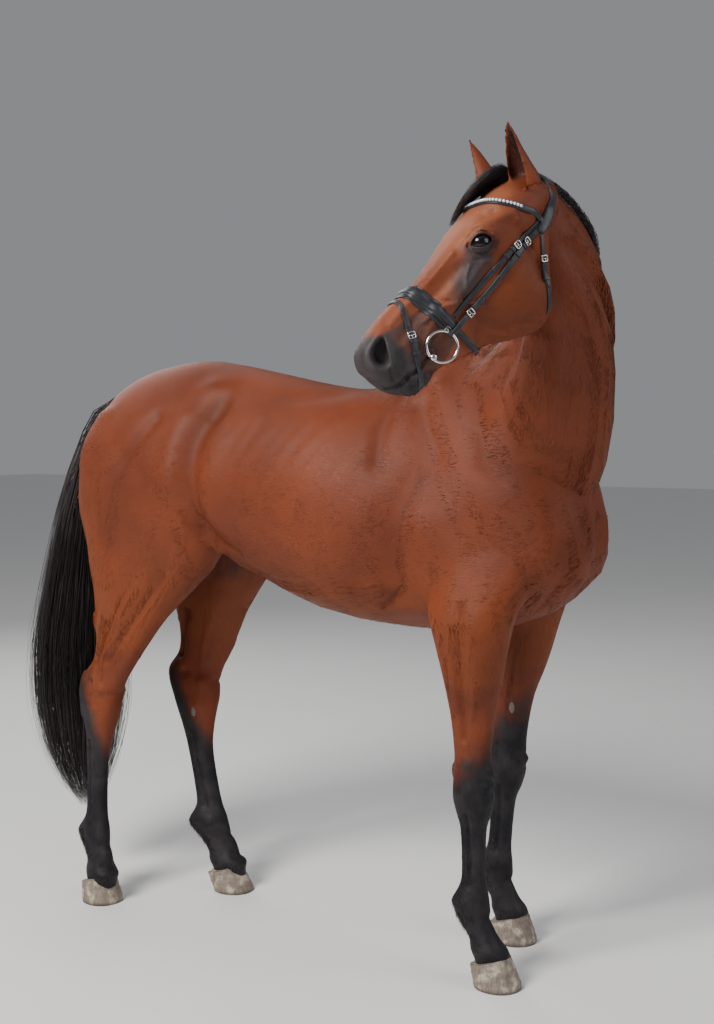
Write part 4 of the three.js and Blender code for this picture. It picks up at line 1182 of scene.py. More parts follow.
def coat_marks(points, normals):
    """How black, how light and how orange the coat is at each point of the body. The light holds a painted
    highlight along the top of the face, and the black between the hind legs is partly painted shade.
    """
    x, y, z = points.T
    s, left, out = head_places(points).T
    on_face = (z > 1450) & (s > -70) & (out > -330) & (np.abs(left) < 150)
    # Dark between the hind legs: partly the black skin of the sheath, partly painted shade.
    groin_black_and_shade = 0.55 * smooth((140 - np.abs(y)) / 70) * smooth((1150 - z) / 90)
    groin_black_and_shade = groin_black_and_shade * smooth((-x - 150) / 120) * smooth((x + 760) / 90) * smooth((z - 910) / 90)
    black = np.where(on_face, face_marks(points, normals), np.maximum(leg_marks(points), groin_black_and_shade))
    # Painted highlight: paler along the top of the face, from the forehead down the nose.
    nose_ridge_highlight = hump(out, -10, 40) * smooth((380 - s) / 200) * smooth((s - 20) / 60) * on_face
    # Paler over the cheekbone and from the middle of the nose down to the muzzle.
    cheekbone = smooth((s - 180) / 60) * smooth((out + 150) / 30) * smooth((-out - 30) / 30)
    paler_cheek_and_lower_face = np.maximum(smooth((s - 330) / 60), cheekbone)
    light = np.maximum(nose_ridge_highlight, 0.5 * paler_cheek_and_lower_face * on_face)
    cheek = on_face * np.exp(-(((s - 215) / 95) ** 2) - ((out + 195) / 75) ** 2)
    low = smooth((1150 - z) / 250) * (z > 780)
    inner = smooth((0.2 - np.abs(normals[:, 1])) / 0.6) * (z < 1000)
    buttocks = smooth((-x - 620) / 120) * (z < 1250)
    warm = np.clip(0.6 * low + 0.4 * inner + 0.8 * buttocks + 0.7 * cheek, 0, 1)
    return np.clip(black, 0, 1), np.clip(light, 0, 1), warm


def write_values(mesh, **values):
    """Stores numbers at the mesh's points, for materials to read."""
    for name, numbers in values.items():
        layer = mesh.attributes.new(name, "FLOAT", "POINT")
        layer.data.foreach_set("value", np.asarray(numbers, np.float32))


# ---------------------------------------------------------------- shader tree
class Value:
    """A socket whose sums build the nodes that work them out."""

    def __init__(self, tree, socket):
        self.tree = tree
        self.socket = socket

    def math(self, operation, *others, clamp=False):
        return self.tree.node("ShaderNodeMath", {"operation": operation, "use_clamp": clamp}, [self, *others])

    def __add__(self, other):
        return self.math("ADD", other)

    def __sub__(self, other):
        return self.math("SUBTRACT", other)

    def __mul__(self, other):
        return self.math("MULTIPLY", other)

    def __truediv__(self, other):
        return self.math("DIVIDE", other)

    def __pow__(self, other):
        return self.math("POWER", other)

    def __radd__(self, other):
        return self.tree.constant("ADD", other, self)

    def __rsub__(self, other):
        return self.tree.constant("SUBTRACT", other, self)

    def clamped(self):
        return self.math("ADD", 0.0, clamp=True)

    def step(self, low, high):
        """Nought below low, one above high, smooth between."""
        values = {"Value": self, "From Min": low, "From Max": high}
        return self.tree.node("ShaderNodeMapRange", {"interpolation_type": "SMOOTHSTEP"}, values)


class Tree:
    """A material's node tree, built by calls that name what they add."""

    def __init__(self, name):
        self.material = bpy.data.materials.new(name)
        self.material.use_nodes = True
        self.nodes = self.material.node_tree.nodes
        self.links = self.material.node_tree.links
        self.shader = self.nodes["Principled BSDF"]

    def put(self, node, key, value):
        socket = node.inputs[key]
        if isinstance(value, Value):
            self.links.new(value.socket, socket)
        elif value is not None:
            socket.default_value = value

    def node(self, kind, settings=None, values=None, output=0):
        made = self.nodes.new(kind)
        for key, value in (settings or {}).items():
            setattr(made, key, value)
        pairs = values.items() if isinstance(values, dict) else enumerate(values or [])
        for key, value in pairs:
            self.put(made, key, value)
        return Value(self, made.outputs[output])

    def constant(self, operation, number, value):
        return self.node("ShaderNodeMath", {"operation": operation}, [number, value])

    def place(self):
        return self.node("ShaderNodeTexCoord", output="Object")

    def parts(self, vector):
        made = self.nodes.new("ShaderNodeSeparateXYZ")
        self.links.new(vector.socket, made.inputs[0])
        return tuple(Value(self, out) for out in made.outputs)

    def uv(self, name):
        return self.node("ShaderNodeUVMap", {"uv_map": name})

    def attribute(self, name):
        return self.node("ShaderNodeAttribute", {"attribute_name": name}, output="Fac")

    def stretched(self, vector, scale):
        return self.node("ShaderNodeMapping", None, {"Vector": vector, "Scale": scale})

    def noise(self, vector, scale=1.0, detail=3.0, rough=0.5):
        values = {"Vector": vector, "Scale": scale, "Detail": detail, "Roughness": rough}
        return self.node("ShaderNodeTexNoise", None, values)

    def grain(self, vector, scale, detail=3.0, rough=0.5):
        """Noise stretched by its own scale along each axis."""
        return self.noise(self.stretched(vector, scale), 1.0, detail, rough)

    def cells(self, vector, scale):
        return self.node("ShaderNodeTexVoronoi", None, {"Vector": vector, "Scale": scale})

    def mix(self, share, first, second):
        """The first colour where share is nought, the second where it is one."""
        made = self.nodes.new("ShaderNodeMix")
        made.data_type = "RGBA"
        for index, value in ((0, share), (6, first), (7, second)):
            if isinstance(value, Value):
                self.links.new(value.socket, made.inputs[index])
            elif index:
                made.inputs[index].default_value = (*value, 1)
            else:
                made.inputs[index].default_value = value
        return Value(self, made.outputs[2])

    def bump(self, height, strength, distance):
        sockets = {"Height": height, "Strength": strength, "Distance": distance}
        return self.node("ShaderNodeBump", None, sockets)

    def surface(self, **sockets):
        """The finished material, from the shader's sockets by name."""
        for key, value in sockets.items():
            self.put(self.shader, key.replace("_", " "), value)
        return self.material


def rgb(red, green, blue):
    """A display colour of 0 to 255, as the linear numbers a shader takes."""
    shares = (c / 255 for c in (red, green, blue))
    return tuple(c / 12.92 if c <= 0.04 else ((c + 0.055) / 1.055) ** 2.4 for c in shares)


def coat_hairs(tree, place, on_skin):
    """Coarse and fine hairs: along the skin's own lie, or simply upright on tufts."""
    if on_skin:
        lie = tree.uv("lie")
        return tree.grain(lie, (34.0, 420.0, 1.0), 3.0, 0.65), tree.grain(lie, (90.0, 1500.0, 1.0), 2.0, 0.6)
    hair = tree.grain(place, (160.0, 160.0, 60.0), 3.0, 0.65)
    return hair, hair


def coat_material(name, on_skin):
    """Bay coat: brown, with a painted highlight along the top of the face and painted shade in its grooves,
    orange on the belly, black on legs, muzzle and ear tips.
    """
    tree = Tree(name)
    coat = bpy.context.scene.horse_coat
    deep_brown, pale, grey_black = tuple(coat.deep_brown), tuple(coat.pale), tuple(coat.grey_black)
    place = tree.place()
    black, light, warm, hollow = (tree.attribute(key) for key in ("black", "light", "warm", "hollow"))
    broad = tree.noise(place, 3.2, 3.0, 0.5)
    patch = tree.noise(place, 17.0, 4.0, 0.6)
    hair, strands = coat_hairs(tree, place, on_skin)
    brown = tree.mix((broad - 0.35) * 1.6, tuple(coat.brown), deep_brown)
    brown = tree.mix(warm * 0.55, brown, tuple(coat.orange))
    # Paler where the light mark is high, which holds the painted highlight along the top of the face.
    brown = tree.mix(light * 0.5, brown, pale)
    brown = tree.mix(((patch - 0.42) * 1.3).clamped() * 0.45, brown, deep_brown)
    if not on_skin:
        shade = tree.attribute("shade")
        brown = tree.mix(shade.clamped() * 0.12, brown, pale)
        brown = tree.mix((0 - shade).clamped() * 0.2, brown, deep_brown)
    # Painted shade: grooves, creases and the insides of the nostrils darkened towards the groove colour.
    brown = tree.mix((hollow * (0.6 + patch * 0.6)).clamped() * 0.8, brown, tuple(coat.hollow))
    edge = (black + (patch - 0.5) * 0.6 + (hair - 0.5) * 0.4).step(0.2, 0.85)
    dark = tree.mix(((patch - 0.4) * 1.2 + light).clamped(), tuple(coat.black), grey_black)
    tips = tree.mix(edge, pale, grey_black)
    colour = tree.mix(((strands - 0.48) * 1.6).clamped() * 0.22, tree.mix(edge, brown, dark), tips)
    rough = 0.54 + (hair - 0.5) * 0.25 + hollow * 0.1
    normal = tree.bump(hair * 0.6 + strands * 0.4, 0.5, 0.0016)
    return tree.surface(Base_Color=colour, Roughness=rough, Normal=normal, Specular_IOR_Level=0.22)


# ---------------------------------------------------------------- sizes and colours a user may change
class SkinSizes(bpy.types.PropertyGroup):
    voxel: FloatProperty(
        name="Voxel", description="How fine the skin is grown", default=0.005, subtype="DISTANCE")
    depth: FloatProperty(
        name="Coat depth", description="How far the skin lies in the solids", default=0.002,
        subtype="DISTANCE")
    triangles: IntProperty(
        name="Triangles", description="The most triangles the skin keeps", default=190000)


class CoatColours(bpy.types.PropertyGroup):
    brown: FloatVectorProperty(
        name="Brown", description="Main coat", default=rgb(114, 52, 27), subtype="COLOR")
    deep_brown: FloatVectorProperty(
        name="Deep brown", description="Darker patches", default=rgb(70, 30, 17), subtype="COLOR")
    orange: FloatVectorProperty(
        name="Orange", description="Belly and backs of the thighs", default=rgb(126, 62, 25), subtype="COLOR")
    # Pale is also the colour of the painted highlight along the top of the face.
    pale: FloatVectorProperty(
        name="Pale", description="Sunlit hair tips", default=rgb(164, 102, 72), subtype="COLOR")
    # The colour of the painted shade in the skin's grooves and creases and inside the nostrils.
    hollow: FloatVectorProperty(
        name="Hollow", description="In creases", default=rgb(50, 21, 13), subtype="COLOR")
    black: FloatVectorProperty(
        name="Black", description="Legs, muzzle and ear tips", default=rgb(20, 18, 22), subtype="COLOR")
    grey_black: FloatVectorProperty(
        name="Grey black", description="Worn black hair", default=rgb(66, 60, 61), subtype="COLOR")


class StageSizes(bpy.types.PropertyGroup):
    lens: FloatProperty(
        name="Lens", description="Focal length", default=48.45, unit="CAMERA")
    key_power: FloatProperty(
        name="Main light", description="Power of the main light", default=470.0, unit="POWER")


CAMERA = {"at": (2.2361, -3.1577, 1.437), "heading": 31, "shift": -0.0801}
FLOOR_REACH = 30.0
ROOM = {"colour": (0.86, 0.88, 0.92, 1), "strength": 0.3}
LIGHTS_AIM = (0, 0, 1.1)
# Lamps: place, size, share of the main light's power, colour.
LAMPS = {
    "main_light": ((-0.9, -4.4, 4.4), 2.2, 1.0, (1.0, 0.98, 0.95)),
    "side_light": ((5.0, 0.5, 3.4), 3.0, 0.2, (0.95, 0.97, 1.0)),
    "back_light": ((-4.0, 2.5, 3.8), 3.0, 0.2, (1.0, 1.0, 1.0)),
}


# ---------------------------------------------------------------- operators
class HORSE_OT_stage(bpy.types.Operator):
    """Makes the camera, the plain floor and the soft light"""

    bl_idname = "horse.stage"
    bl_label = "Stage"

    def execute(self, context):
        sizes = context.scene.horse_stage
        camera = bpy.data.objects.new("camera", bpy.data.cameras.new("camera"))
        context.scene.collection.objects.link(camera)
        camera.location = CAMERA["at"]
        camera.rotation_euler = (math.radians(90), 0, math.radians(CAMERA["heading"]))
        camera.data.lens = sizes.lens
        camera.data.shift_y = CAMERA["shift"]
        context.scene.camera = camera
        add_floor()
        add_lights(sizes.key_power)
        return {"FINISHED"}


def add_floor():
    corners = [(x * FLOOR_REACH, y * FLOOR_REACH, 0) for x, y in ((-1, -1), (1, -1), (1, 1), (-1, 1))]
    floor = mesh_object("floor", corners, [(0, 1, 2, 3)], False)
    tree = Tree("pale_floor")
    colour = tree.mix(tree.noise(tree.place(), 2.0), rgb(228, 227, 225), rgb(233, 232, 230))
    floor.data.materials.append(tree.surface(Base_Color=colour, Roughness=0.9))


def add_lights(power):
    """A pale even room and three soft lamps."""
    world = bpy.data.worlds.new("soft_room")
    bpy.context.scene.world = world
    world.use_nodes = True
    background = world.node_tree.nodes["Background"]
    background.inputs["Color"].default_value = ROOM["colour"]
    background.inputs["Strength"].default_value = ROOM["strength"]
    for name, (at, size, share, colour) in LAMPS.items():
        lamp = bpy.data.lights.new(name, "AREA")
        lamp.size = size
        lamp.energy = power * share
        lamp.color = colour
        made = bpy.data.objects.new(name, lamp)
        made.location = at
        made.rotation_euler = (Vector(LIGHTS_AIM) - Vector(at)).to_track_quat("-Z", "Y").to_euler()
        bpy.context.scene.collection.objects.link(made)


def hand_over(obj, slot, *nodes):
    """Says what a piece moves with and which solids it stands for; the kind of its material, slot, is not
    used.
    """
    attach(obj, "root")
    if nodes:
        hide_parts(*nodes)


def add_piece(name, shape, material, slot, *nodes):
    """A finished piece from points in millimetres and faces."""
    points, faces = shape
    made = mesh_object(name, metres(points), faces)
    made.data.materials.append(material)
    hand_over(made, slot, *nodes)


# How dark the painted shade in a groove of the skin gets, and how deep the groove is then in millimetres.
GROOVE_SHADE = {"most": 0.34, "deep": 18}


class HORSE_OT_skin(bpy.types.Operator):
    """Grows the one skin that covers all the flesh, with its muscles, folds, lids and nostrils"""

    bl_idname = "horse.skin"
    bl_label = "Skin"

    def execute(self, context):
        sizes = context.scene.horse_skin
        skin = flesh(sizes.voxel)
        finer_head(skin)
        model = Modeller(skin)
        model_muscles(model)
        # Painted shade: the deeper the strokes sink the skin, the darker its colour; the nostrils' insides
        # are darkened too.
        hollow = GROOVE_SHADE["most"] * smooth(-model.height / GROOVE_SHADE["deep"])
        model.points += model.normals * (model.height - sizes.depth * 1000)[:, None]
        model.height[:] = 0
        for hand in (1, -1):
            near, inside = opened_nostril(model, hand)
            hollow[near] = np.maximum(hollow[near], inside)
            opened_eye(model, hand)
        draw_in_ears(model)
        model.apply()
        write_values(skin.data, hollow=hollow)
        thin_out(skin, sizes.triangles)
        finish_skin(skin)
        hand_over(skin, "coat", *FLESH_NODES)
        return {"FINISHED"}


def draw_in_ears(model, by=1.4):
    """Thins the ears to their own thickness after the even growth."""
    for hand in (1, -1):
        root, up, face, across = ear_axes(hand)
        d = model.points - root
        near = (np.abs(d @ across) < 60) & (np.abs(d @ face) < 60)
        model.points -= model.normals * (by * near * smooth((d @ up - 15) / 25))[:, None]


def finer_head(skin):
    """Finer mesh where the detail is: the head, and finer still round the eyes and the muzzle."""
    s, left, out = head_places(places_of(skin.data)).T
    on_face = (np.abs(left) < 140) & (s > -90) & (out > -320) & (out < 190)
    refined(skin, on_face & (points_of(skin.data)[:, 2] > 1.35))
    for _ in range(2):
        local = head_places(places_of(skin.data))
        eyes = [np.linalg.norm(local - (EYE["s"], hand * 100, EYE["out"]), axis=1) < 40 for hand in (1, -1)]
        refined(skin, eyes[0] | eyes[1])
    s, left, out = head_places(places_of(skin.data)).T
    refined(skin, (s > 450) & (s < 640) & (out > -210) & (np.abs(left) < 90))


def thin_out(skin, most):
    """Leaves the head fine and thins the body until the whole is under its count of triangles."""
    skin.data.calc_loop_triangles()
    count = len(skin.data.loop_triangles)
    if count <= most:
        return
    s, _, out = head_places(places_of(skin.data)).T
    height = points_of(skin.data)[:, 2]
    head = smooth((s + 120) / 80) * smooth((out + 380) / 80) * (height > 1.3)
    lower_legs = smooth((0.95 - height) / 0.2) * 0.35
    group = skin.vertex_groups.new(name="keep")
    weights = np.clip(1 - np.maximum(head * 0.9, lower_legs), 0, 1)
    for step in range(11):
        chosen = np.flatnonzero(np.round(weights * 10) == step)
        if len(chosen):
            group.add(chosen.tolist(), step / 10, "REPLACE")
    thin = skin.modifiers.new("thin_out", "DECIMATE")
    thin.ratio = most / count
    thin.vertex_group = group.name
    thin.vertex_group_factor = 1.0
    applied(skin)
    skin.vertex_groups.clear()


def finish_skin(skin):
    """Gives the skin its map, its markings and its material."""
    points, normals = places_of(skin.data), normals_of(skin.data)
    unwrap_skin(skin.data, points, normals)
    black, light, warm = coat_marks(points, normals)
    write_values(skin.data, black=black, light=light, warm=warm)
    skin.data.materials.clear()
    skin.data.materials.append(coat_material("bay_coat", True))
    skin.data.shade_smooth()


# ---------------------------------------------------------------- hair made of many locks
def quick_mesh(name, points, faces):
    """A mesh object from arrays, every face with the same number of corners."""
    faces = np.asarray(faces, np.int32)
    mesh = bpy.data.meshes.new(name)
    mesh.vertices.add(len(points))
    mesh.vertices.foreach_set("co", np.asarray(points, np.float32).ravel())
    mesh.loops.add(faces.size)
    mesh.loops.foreach_set("vertex_index", faces.ravel())
    mesh.polygons.add(len(faces))
    mesh.polygons.foreach_set("loop_start", np.arange(0, faces.size, faces.shape[1], dtype=np.int32))
    mesh.update(calc_edges=True)
    mesh.validate()
    made = bpy.data.objects.new(name, mesh)
    bpy.context.scene.collection.objects.link(made)
    mesh.shade_smooth()
    return made


def strands(name, paths, radii, flat=0.45):
    """Closed three-sided strands. Paths are (strand, step, 3) and radii (strand, step), in millimetres."""
    count, steps, _ = paths.shape
    along = np.gradient(paths, axis=1)
    along /= np.maximum(np.linalg.norm(along, axis=2), 1e-9)[..., None]
    side = np.cross(along, (0.31, 0.22, 0.92))
    side /= np.maximum(np.linalg.norm(side, axis=2), 1e-9)[..., None]
    lift = np.cross(side, along)
    corners = [paths + radii[..., None] * (math.cos(a) * side + flat * math.sin(a) * lift) for a in turns(3)]
    points = np.stack(corners, axis=2).reshape(-1, 3)
    start = (np.arange(count) * steps * 3)[:, None, None]
    row = (np.arange(steps - 1) * 3)[None, :, None]
    k = np.arange(3)[None, None, :]
    a = start + row + k
    b = start + row + (k + 1) % 3
    sides = np.stack([a, a + 3, b + 3, a, b + 3, b], axis=3).reshape(-1, 3)
    first = start[:, :, 0]
    last = first + (steps - 1) * 3
    ends = np.concatenate([first + [[0, 1, 2]], last + [[0, 2, 1]]])
    return quick_mesh(name, metres(points), np.concatenate([sides, ends]))


def tapered(random, thick, shares, count, steps, power=2, loss=0.85):
    """Radii of strands that each have their own thickness and thin towards the tip."""
    taper = 1 - loss * np.linspace(0, 1, steps) ** power
    return thick * random.uniform(*shares, count)[:, None] * taper[None, :]


PATCH = 0.003  # of the map, for each lock or tuft


def root_patches(obj, roots, normals, points_each):
    """Puts each lock on the map as a small patch where its root stands on the skin."""
    chart, along, angle, _ = unrolled(roots, normals)
    places = map_places(chart, along, angle / (2 * math.pi) + 0.5)
    corner = np.arange(points_each)
    patch = np.stack([(corner % 3) / 2, corner / (points_each - 1)], axis=1) * PATCH - PATCH / 2
    per_point = (places[:, None, :] + patch[None, :, :]).reshape(-1, 2)
    loops = np.empty(len(obj.data.loops), np.int32)
    obj.data.loops.foreach_get("vertex_index", loops)
    layer = obj.data.uv_layers.new(name="OFBake")
    layer.uv.foreach_set("vector", per_point[loops].astype(np.float32).ravel())


def hair_piece(obj, slot, material, *nodes):
    """Gives hair its material, makes it move with the body and hides the solids it stands for."""
    obj.data.materials.clear()
    obj.data.materials.append(material)
    hand_over(obj, slot, *nodes)


def locks_piece(name, paths, radii, facing, material, *nodes):
    """A piece of long black hair, with the way its roots face for the map."""
    count, steps, _ = paths.shape
    made = strands(name, paths, radii)
    root_patches(made, paths[:, 0], np.tile(facing, (count, 1)), steps * 3)
    hair_piece(made, "hair", material, *nodes)


def hair_material(name):
    """Black hair, each lock a little browner or bluer than the next."""
    tree = Tree(name)
    place = tree.place()
    lock = tree.grain(place, (60.0, 60.0, 5.0), 2.0)
    fine = tree.grain(place, (700.0, 700.0, 40.0), 2.0)
    colour = tree.mix((lock * 2 - 0.6).clamped(), rgb(17, 15, 19), rgb(70, 58, 58))
    colour = tree.mix(((fine - 0.5) * 1.2).clamped() * 0.6, colour, rgb(92, 84, 88))
    rough = 0.34 + (fine - 0.5) * 0.25
    normal = tree.bump(fine, 0.4, 0.0008)
    return tree.surface(Base_Color=colour, Roughness=rough, Normal=normal, Specular_IOR_Level=0.55)


class Roots:
    """Places for hairs spread over the skin by its area, with what the skin says there."""

    def __init__(self, skin, count, seed, wanted):
        """wanted gives each vertex's share of hairs, from its place, chart and marks."""
        self.random = np.random.default_rng(seed)
        mesh = skin.data
        points, normals = places_of(mesh), normals_of(mesh)
        chart, _, _, lie = unrolled(points, normals)
        marks = {}
        for name in ("black", "light", "warm", "hollow"):
            marks[name] = np.empty(len(points), np.float32)
            mesh.attributes[name].data.foreach_get("value", marks[name])
        mesh.calc_loop_triangles()
        corners = np.empty(len(mesh.loop_triangles) * 3, np.int32)
        mesh.loop_triangles.foreach_get("vertices", corners)
        corners = corners.reshape(-1, 3)
        a, b, c = (points[corners[:, k]] for k in range(3))
        area = np.linalg.norm(np.cross(b - a, c - a), axis=1)
        share = wanted(points, chart, marks)[corners[:, 0]] * area
        chosen = self.random.choice(len(corners), count, p=share / share.sum())
        u, v = np.sqrt(self.random.uniform(0, 1, count)), self.random.uniform(0, 1, count)
        weights = np.stack([1 - u, u * (1 - v), u * v], axis=1)
        trio = corners[chosen]
        self.chart = chart[trio[:, 0]]
        self.at = (points[trio] * weights[..., None]).sum(axis=1)
        self.normal = self.one((normals[trio] * weights[..., None]).sum(axis=1))
        self.lie = self.square((lie[trio] * weights[..., None]).sum(axis=1))
        self.marks = {name: (values[trio] * weights).sum(axis=1) for name, values in marks.items()}

    @staticmethod
    def one(vectors):
        """The same ways, each with a length of one."""
        return vectors / np.maximum(np.linalg.norm(vectors, axis=1), 1e-6)[:, None]

    def square(self, ways):
        """Ways turned to lie in the skin."""
        return self.one(ways - (ways * self.normal).sum(axis=1)[:, None] * self.normal)

    def strewn(self, degrees):
        """The lie of each hair, a little astray from its neighbours'."""
        turn = np.radians(self.random.normal(0, degrees, len(self.at)))[:, None]
        return self.lie * np.cos(turn) + np.cross(self.normal, self.lie) * np.sin(turn)

    def mark(self, obj, points_each):
        """Gives each hair the skin's markings, a shade of its own and its patch of the map."""
        shade = np.clip(self.random.normal(0, 0.4, len(self.at)), -1, 1)
        for name, values in (*self.marks.items(), ("shade", shade)):
            write_values(obj.data, **{name: np.repeat(values, points_each)})
        root_patches(obj, self.at, self.normal, points_each)


def on_charts(chart, words):
    """Which points lie on a chart whose name holds one of the words."""
    chosen = [number for number, name in enumerate(CHART_NAMES) if any(word in name for word in words)]
    return np.isin(chart, chosen)


# Pieces of the short coat: words in the names of their charts, count of tufts, their length.
COAT_PIECES = {
    "coat_trunk": (("trunk",), 42000, 15),
    "coat_neck": (("neck",), 34000, 12),
    "coat_head": (("head", "ear"), 42000, 5.5),
    "coat_fore_legs": (("fore",), 32000, 8.5),
    "coat_hind_legs": (("hind",), 37000, 9.5),
}
# A tuft's width and rise as shares of its length, its thickness and depth of root, how many degrees its lie
# goes astray, and how far its shading leans to its sides.
TUFT = {"width": 0.26, "thick": 0.11, "rise": 0.028, "sink": 0.1, "astray": 9, "lean": 0.07}


def coat_tufts(skin, name, charts, count, length, seed):
    """Flat four-sided tufts that overlap along the lie of the coat."""

    def wanted(points, chart, marks):
        bare = smooth((marks["hollow"] - 0.5) / 0.3)
        near_eye = np.zeros(len(points), bool)
        for hand in (1, -1):
            near_eye |= eye_places(points, hand)[-1] > -5
        return on_charts(chart, charts) * (1 - bare) * ~near_eye

    roots = Roots(skin, count, seed, wanted)
    random = roots.random
    s = head_places(roots.at)[:, 0]
    muzzle = smooth((s - 470) / 60) * (roots.at[:, 2] > 1400)
    low = smooth((0.25 - roots.at[:, 2] / 1000) / 0.2)
    long = length * random.uniform(0.65, 1.35, count) * (1 - 0.6 * muzzle) * (1 - 0.2 * low)
    long = long * np.where(on_charts(roots.chart, ("ear",)), 0.6, 1)
    lie = roots.strewn(TUFT["astray"])
    side = np.cross(roots.normal, lie)
    half = (long * TUFT["width"] * random.uniform(0.6, 1.2, count) / 2)[:, None]
    rise = (long * TUFT["rise"] * random.uniform(0.2, 1.6, count))[:, None]
    base = roots.at - roots.normal * TUFT["sink"]
    ridge = roots.at + roots.normal * TUFT["thick"]
    tip = roots.at + lie * long[:, None] + roots.normal * rise
    points = np.stack([base - side * half, base + side * half, ridge, tip], axis=1)
    corner = (np.arange(count) * 4)[:, None, None]
    faces = (corner + np.array([[0, 2, 1], [0, 1, 3], [1, 2, 3], [2, 0, 3]])[None]).reshape(-1, 3)
    made = quick_mesh(name, metres(points.reshape(-1, 3)), faces)
    lean = TUFT["lean"]
    leaning = np.stack([-lean * side, lean * side, 0 * lie, 0.6 * lean * lie], axis=1)
    facing = roots.one((roots.normal[:, None, :] + leaning).reshape(-1, 3))
    made.data.normals_split_custom_set_from_vertices(facing.astype(np.float32))
    roots.mark(made, 4)
    return made


class HORSE_OT_coat(bpy.types.Operator):
    """Covers the skin with short flat tufts that follow the lie of the coat"""

    bl_idname = "horse.coat"
    bl_label = "Coat"

    def execute(self, context):
        skin = bpy.data.objects["horse_skin"]
        material = coat_material("bay_coat_tufts", False)
        for seed, (name, sizes) in enumerate(COAT_PIECES.items(), 50):
            hair_piece(coat_tufts(skin, name, *sizes, seed), "coat", material)
        return {"FINISHED"}


def hair_paths(roots, length, lift, droop, astray, steps):
    """Hairs that leave the skin along its lie, rise by lift and droop by their own weight."""
    t = np.linspace(0, 1, steps)[None, :, None]
    lie = roots.strewn(astray)[:, None, :]
    normal = roots.normal[:, None, :]
    fall = np.array([0, 0, -1.0])
    bend = lie * t + normal * lift * t * (1.4 - 0.6 * t) + fall * droop * t * t
    return roots.at[:, None, :] - normal * 0.8 + length[:, None, None] * bend


def feather_wanted(points, chart, marks):
    """Where longer hair grows: behind the fetlocks and cannons, and round the coronets."""
    z = points[:, 2]
    wanted = np.zeros(len(points))
    for k, leg in enumerate(LEGS.values()):
        back = smooth((leg_middle(leg, z)[:, 0] - points[:, 0] - 2) / 16)
        fetlock = back * hump(z, 168, 42) * 1.3
        tendon = 0.35 * back * smooth((z - 190) / 50) * smooth((470 - z) / 120)
        coronet = hump(z, 86, 9)
        wanted += (chart == FIRST_LEG_CHART + k) * np.maximum.reduce([fetlock, tendon, coronet])
    return wanted


def fringe_wanted(points, chart, marks):
    """Where the coat breaks the outline: belly, throat, jaw and ears."""
    s, left, out = head_places(points).T
    _, y, z = points.T
    belly = on_charts(chart, ("trunk",)) * smooth((1010 - z) / 60) * smooth((90 - np.abs(y)) / 50)
    under = smooth((40 - np.abs(left)) / 20) * smooth((-out - 150) / 30) * smooth((s - 120) / 60)
    jaw = on_charts(chart, ("head",)) * under
    inside = on_charts(chart, ("inside",))
    rims = on_charts(chart, ("ear",)) & ~inside
    return belly + jaw + inside * 3.0 + rims * 0.7


def whiskers_wanted(points, chart, marks):
    """Where whiskers grow: round the mouth and chin."""
    s, _, out = head_places(points).T
    round_mouth = smooth((s - 480) / 40) * smooth((-out - 60) / 60)
    return on_charts(chart, ("head",)) * round_mouth * (marks["hollow"] < 0.4)


# Longer hair: count, seed and where it grows, then its length and the shares of it, lift, droop, degrees
# astray, steps and radius.
LONG_HAIR = {
    "leg_feathers": (3800, 71, feather_wanted, 5, (0.6, 1.3), 0.32, 0.35, 9, 5, 0.75),
    "coat_fringe": (3800, 72, fringe_wanted, 9, (0.5, 1.3), 0.3, 0.25, 14, 5, 0.5),
    "muzzle_whiskers": (100, 73, whiskers_wanted, 27, (0.4, 1.2), 1.2, 0.25, 40, 7, 0.32),
}
FETLOCK_EXTRA = 8  # millimetres longer at the fetlocks
LASHES = {"count": 34, "steps": 6, "radius": 0.42}


def add_long_hair(name, material, slot):
    """One piece of longer hair."""
    count, seed, wanted, length, shares, lift, droop, astray, steps, radius = LONG_HAIR[name]
    roots = Roots(bpy.data.objects["horse_skin"], count, seed, wanted)
    if name == "leg_feathers":
        length = length + FETLOCK_EXTRA * hump(roots.at[:, 2], 168, 45)
    length = length * roots.random.uniform(*shares, count)
    paths = hair_paths(roots, length, lift, droop, astray, steps)
    made = strands(name, paths, tapered(roots.random, radius, (0.7, 1.2), count, steps, 1.5, 0.8))
    roots.mark(made, steps * 3)
    hair_piece(made, slot, material)


def add_lashes():
    """Lashes along each upper lid, longest in the middle."""
    random = np.random.default_rng(74)
    steps = LASHES["steps"]
    t = np.linspace(0, 1, steps)[:, None]
    half = EYE_OPENING["long"]
    tilt = math.radians(EYE_OPENING["tilt"])
    paths = []
    for hand in (1, -1):
        centre, axes = eye_frame(hand)
        toward = axes[0] * math.cos(tilt) - axes[1] * math.sin(tilt)
        above = axes[0] * math.sin(tilt) + axes[1] * math.cos(tilt)
        for share in np.linspace(-0.86, 0.7, LASHES["count"]):
            high = EYE_OPENING["upper"] * lid_reach(abs(share))
            flat = math.hypot(share * half, high)
            out = math.sqrt(max(0, (EYE["radius"] + EYE_OPENING["lid"]) ** 2 - flat**2))
            root = centre + toward * share * half + above * (high + 0.6) + axes[2] * out
            long = (15 - 7 * share**2) * random.uniform(0.8, 1.15)
            way = unit(axes[2] + 0.25 * above + share * 0.3 * toward + random.normal(0, 0.08, 3))
            paths.append(root + long * (way * t - above * 0.45 * t * t))
    radii = LASHES["radius"] * (1 - 0.75 * t[:, 0])[None, :] * np.ones((len(paths), 1))
    locks_piece("eye_lashes", np.array(paths), radii, LEFT, hair_material("lashes"))


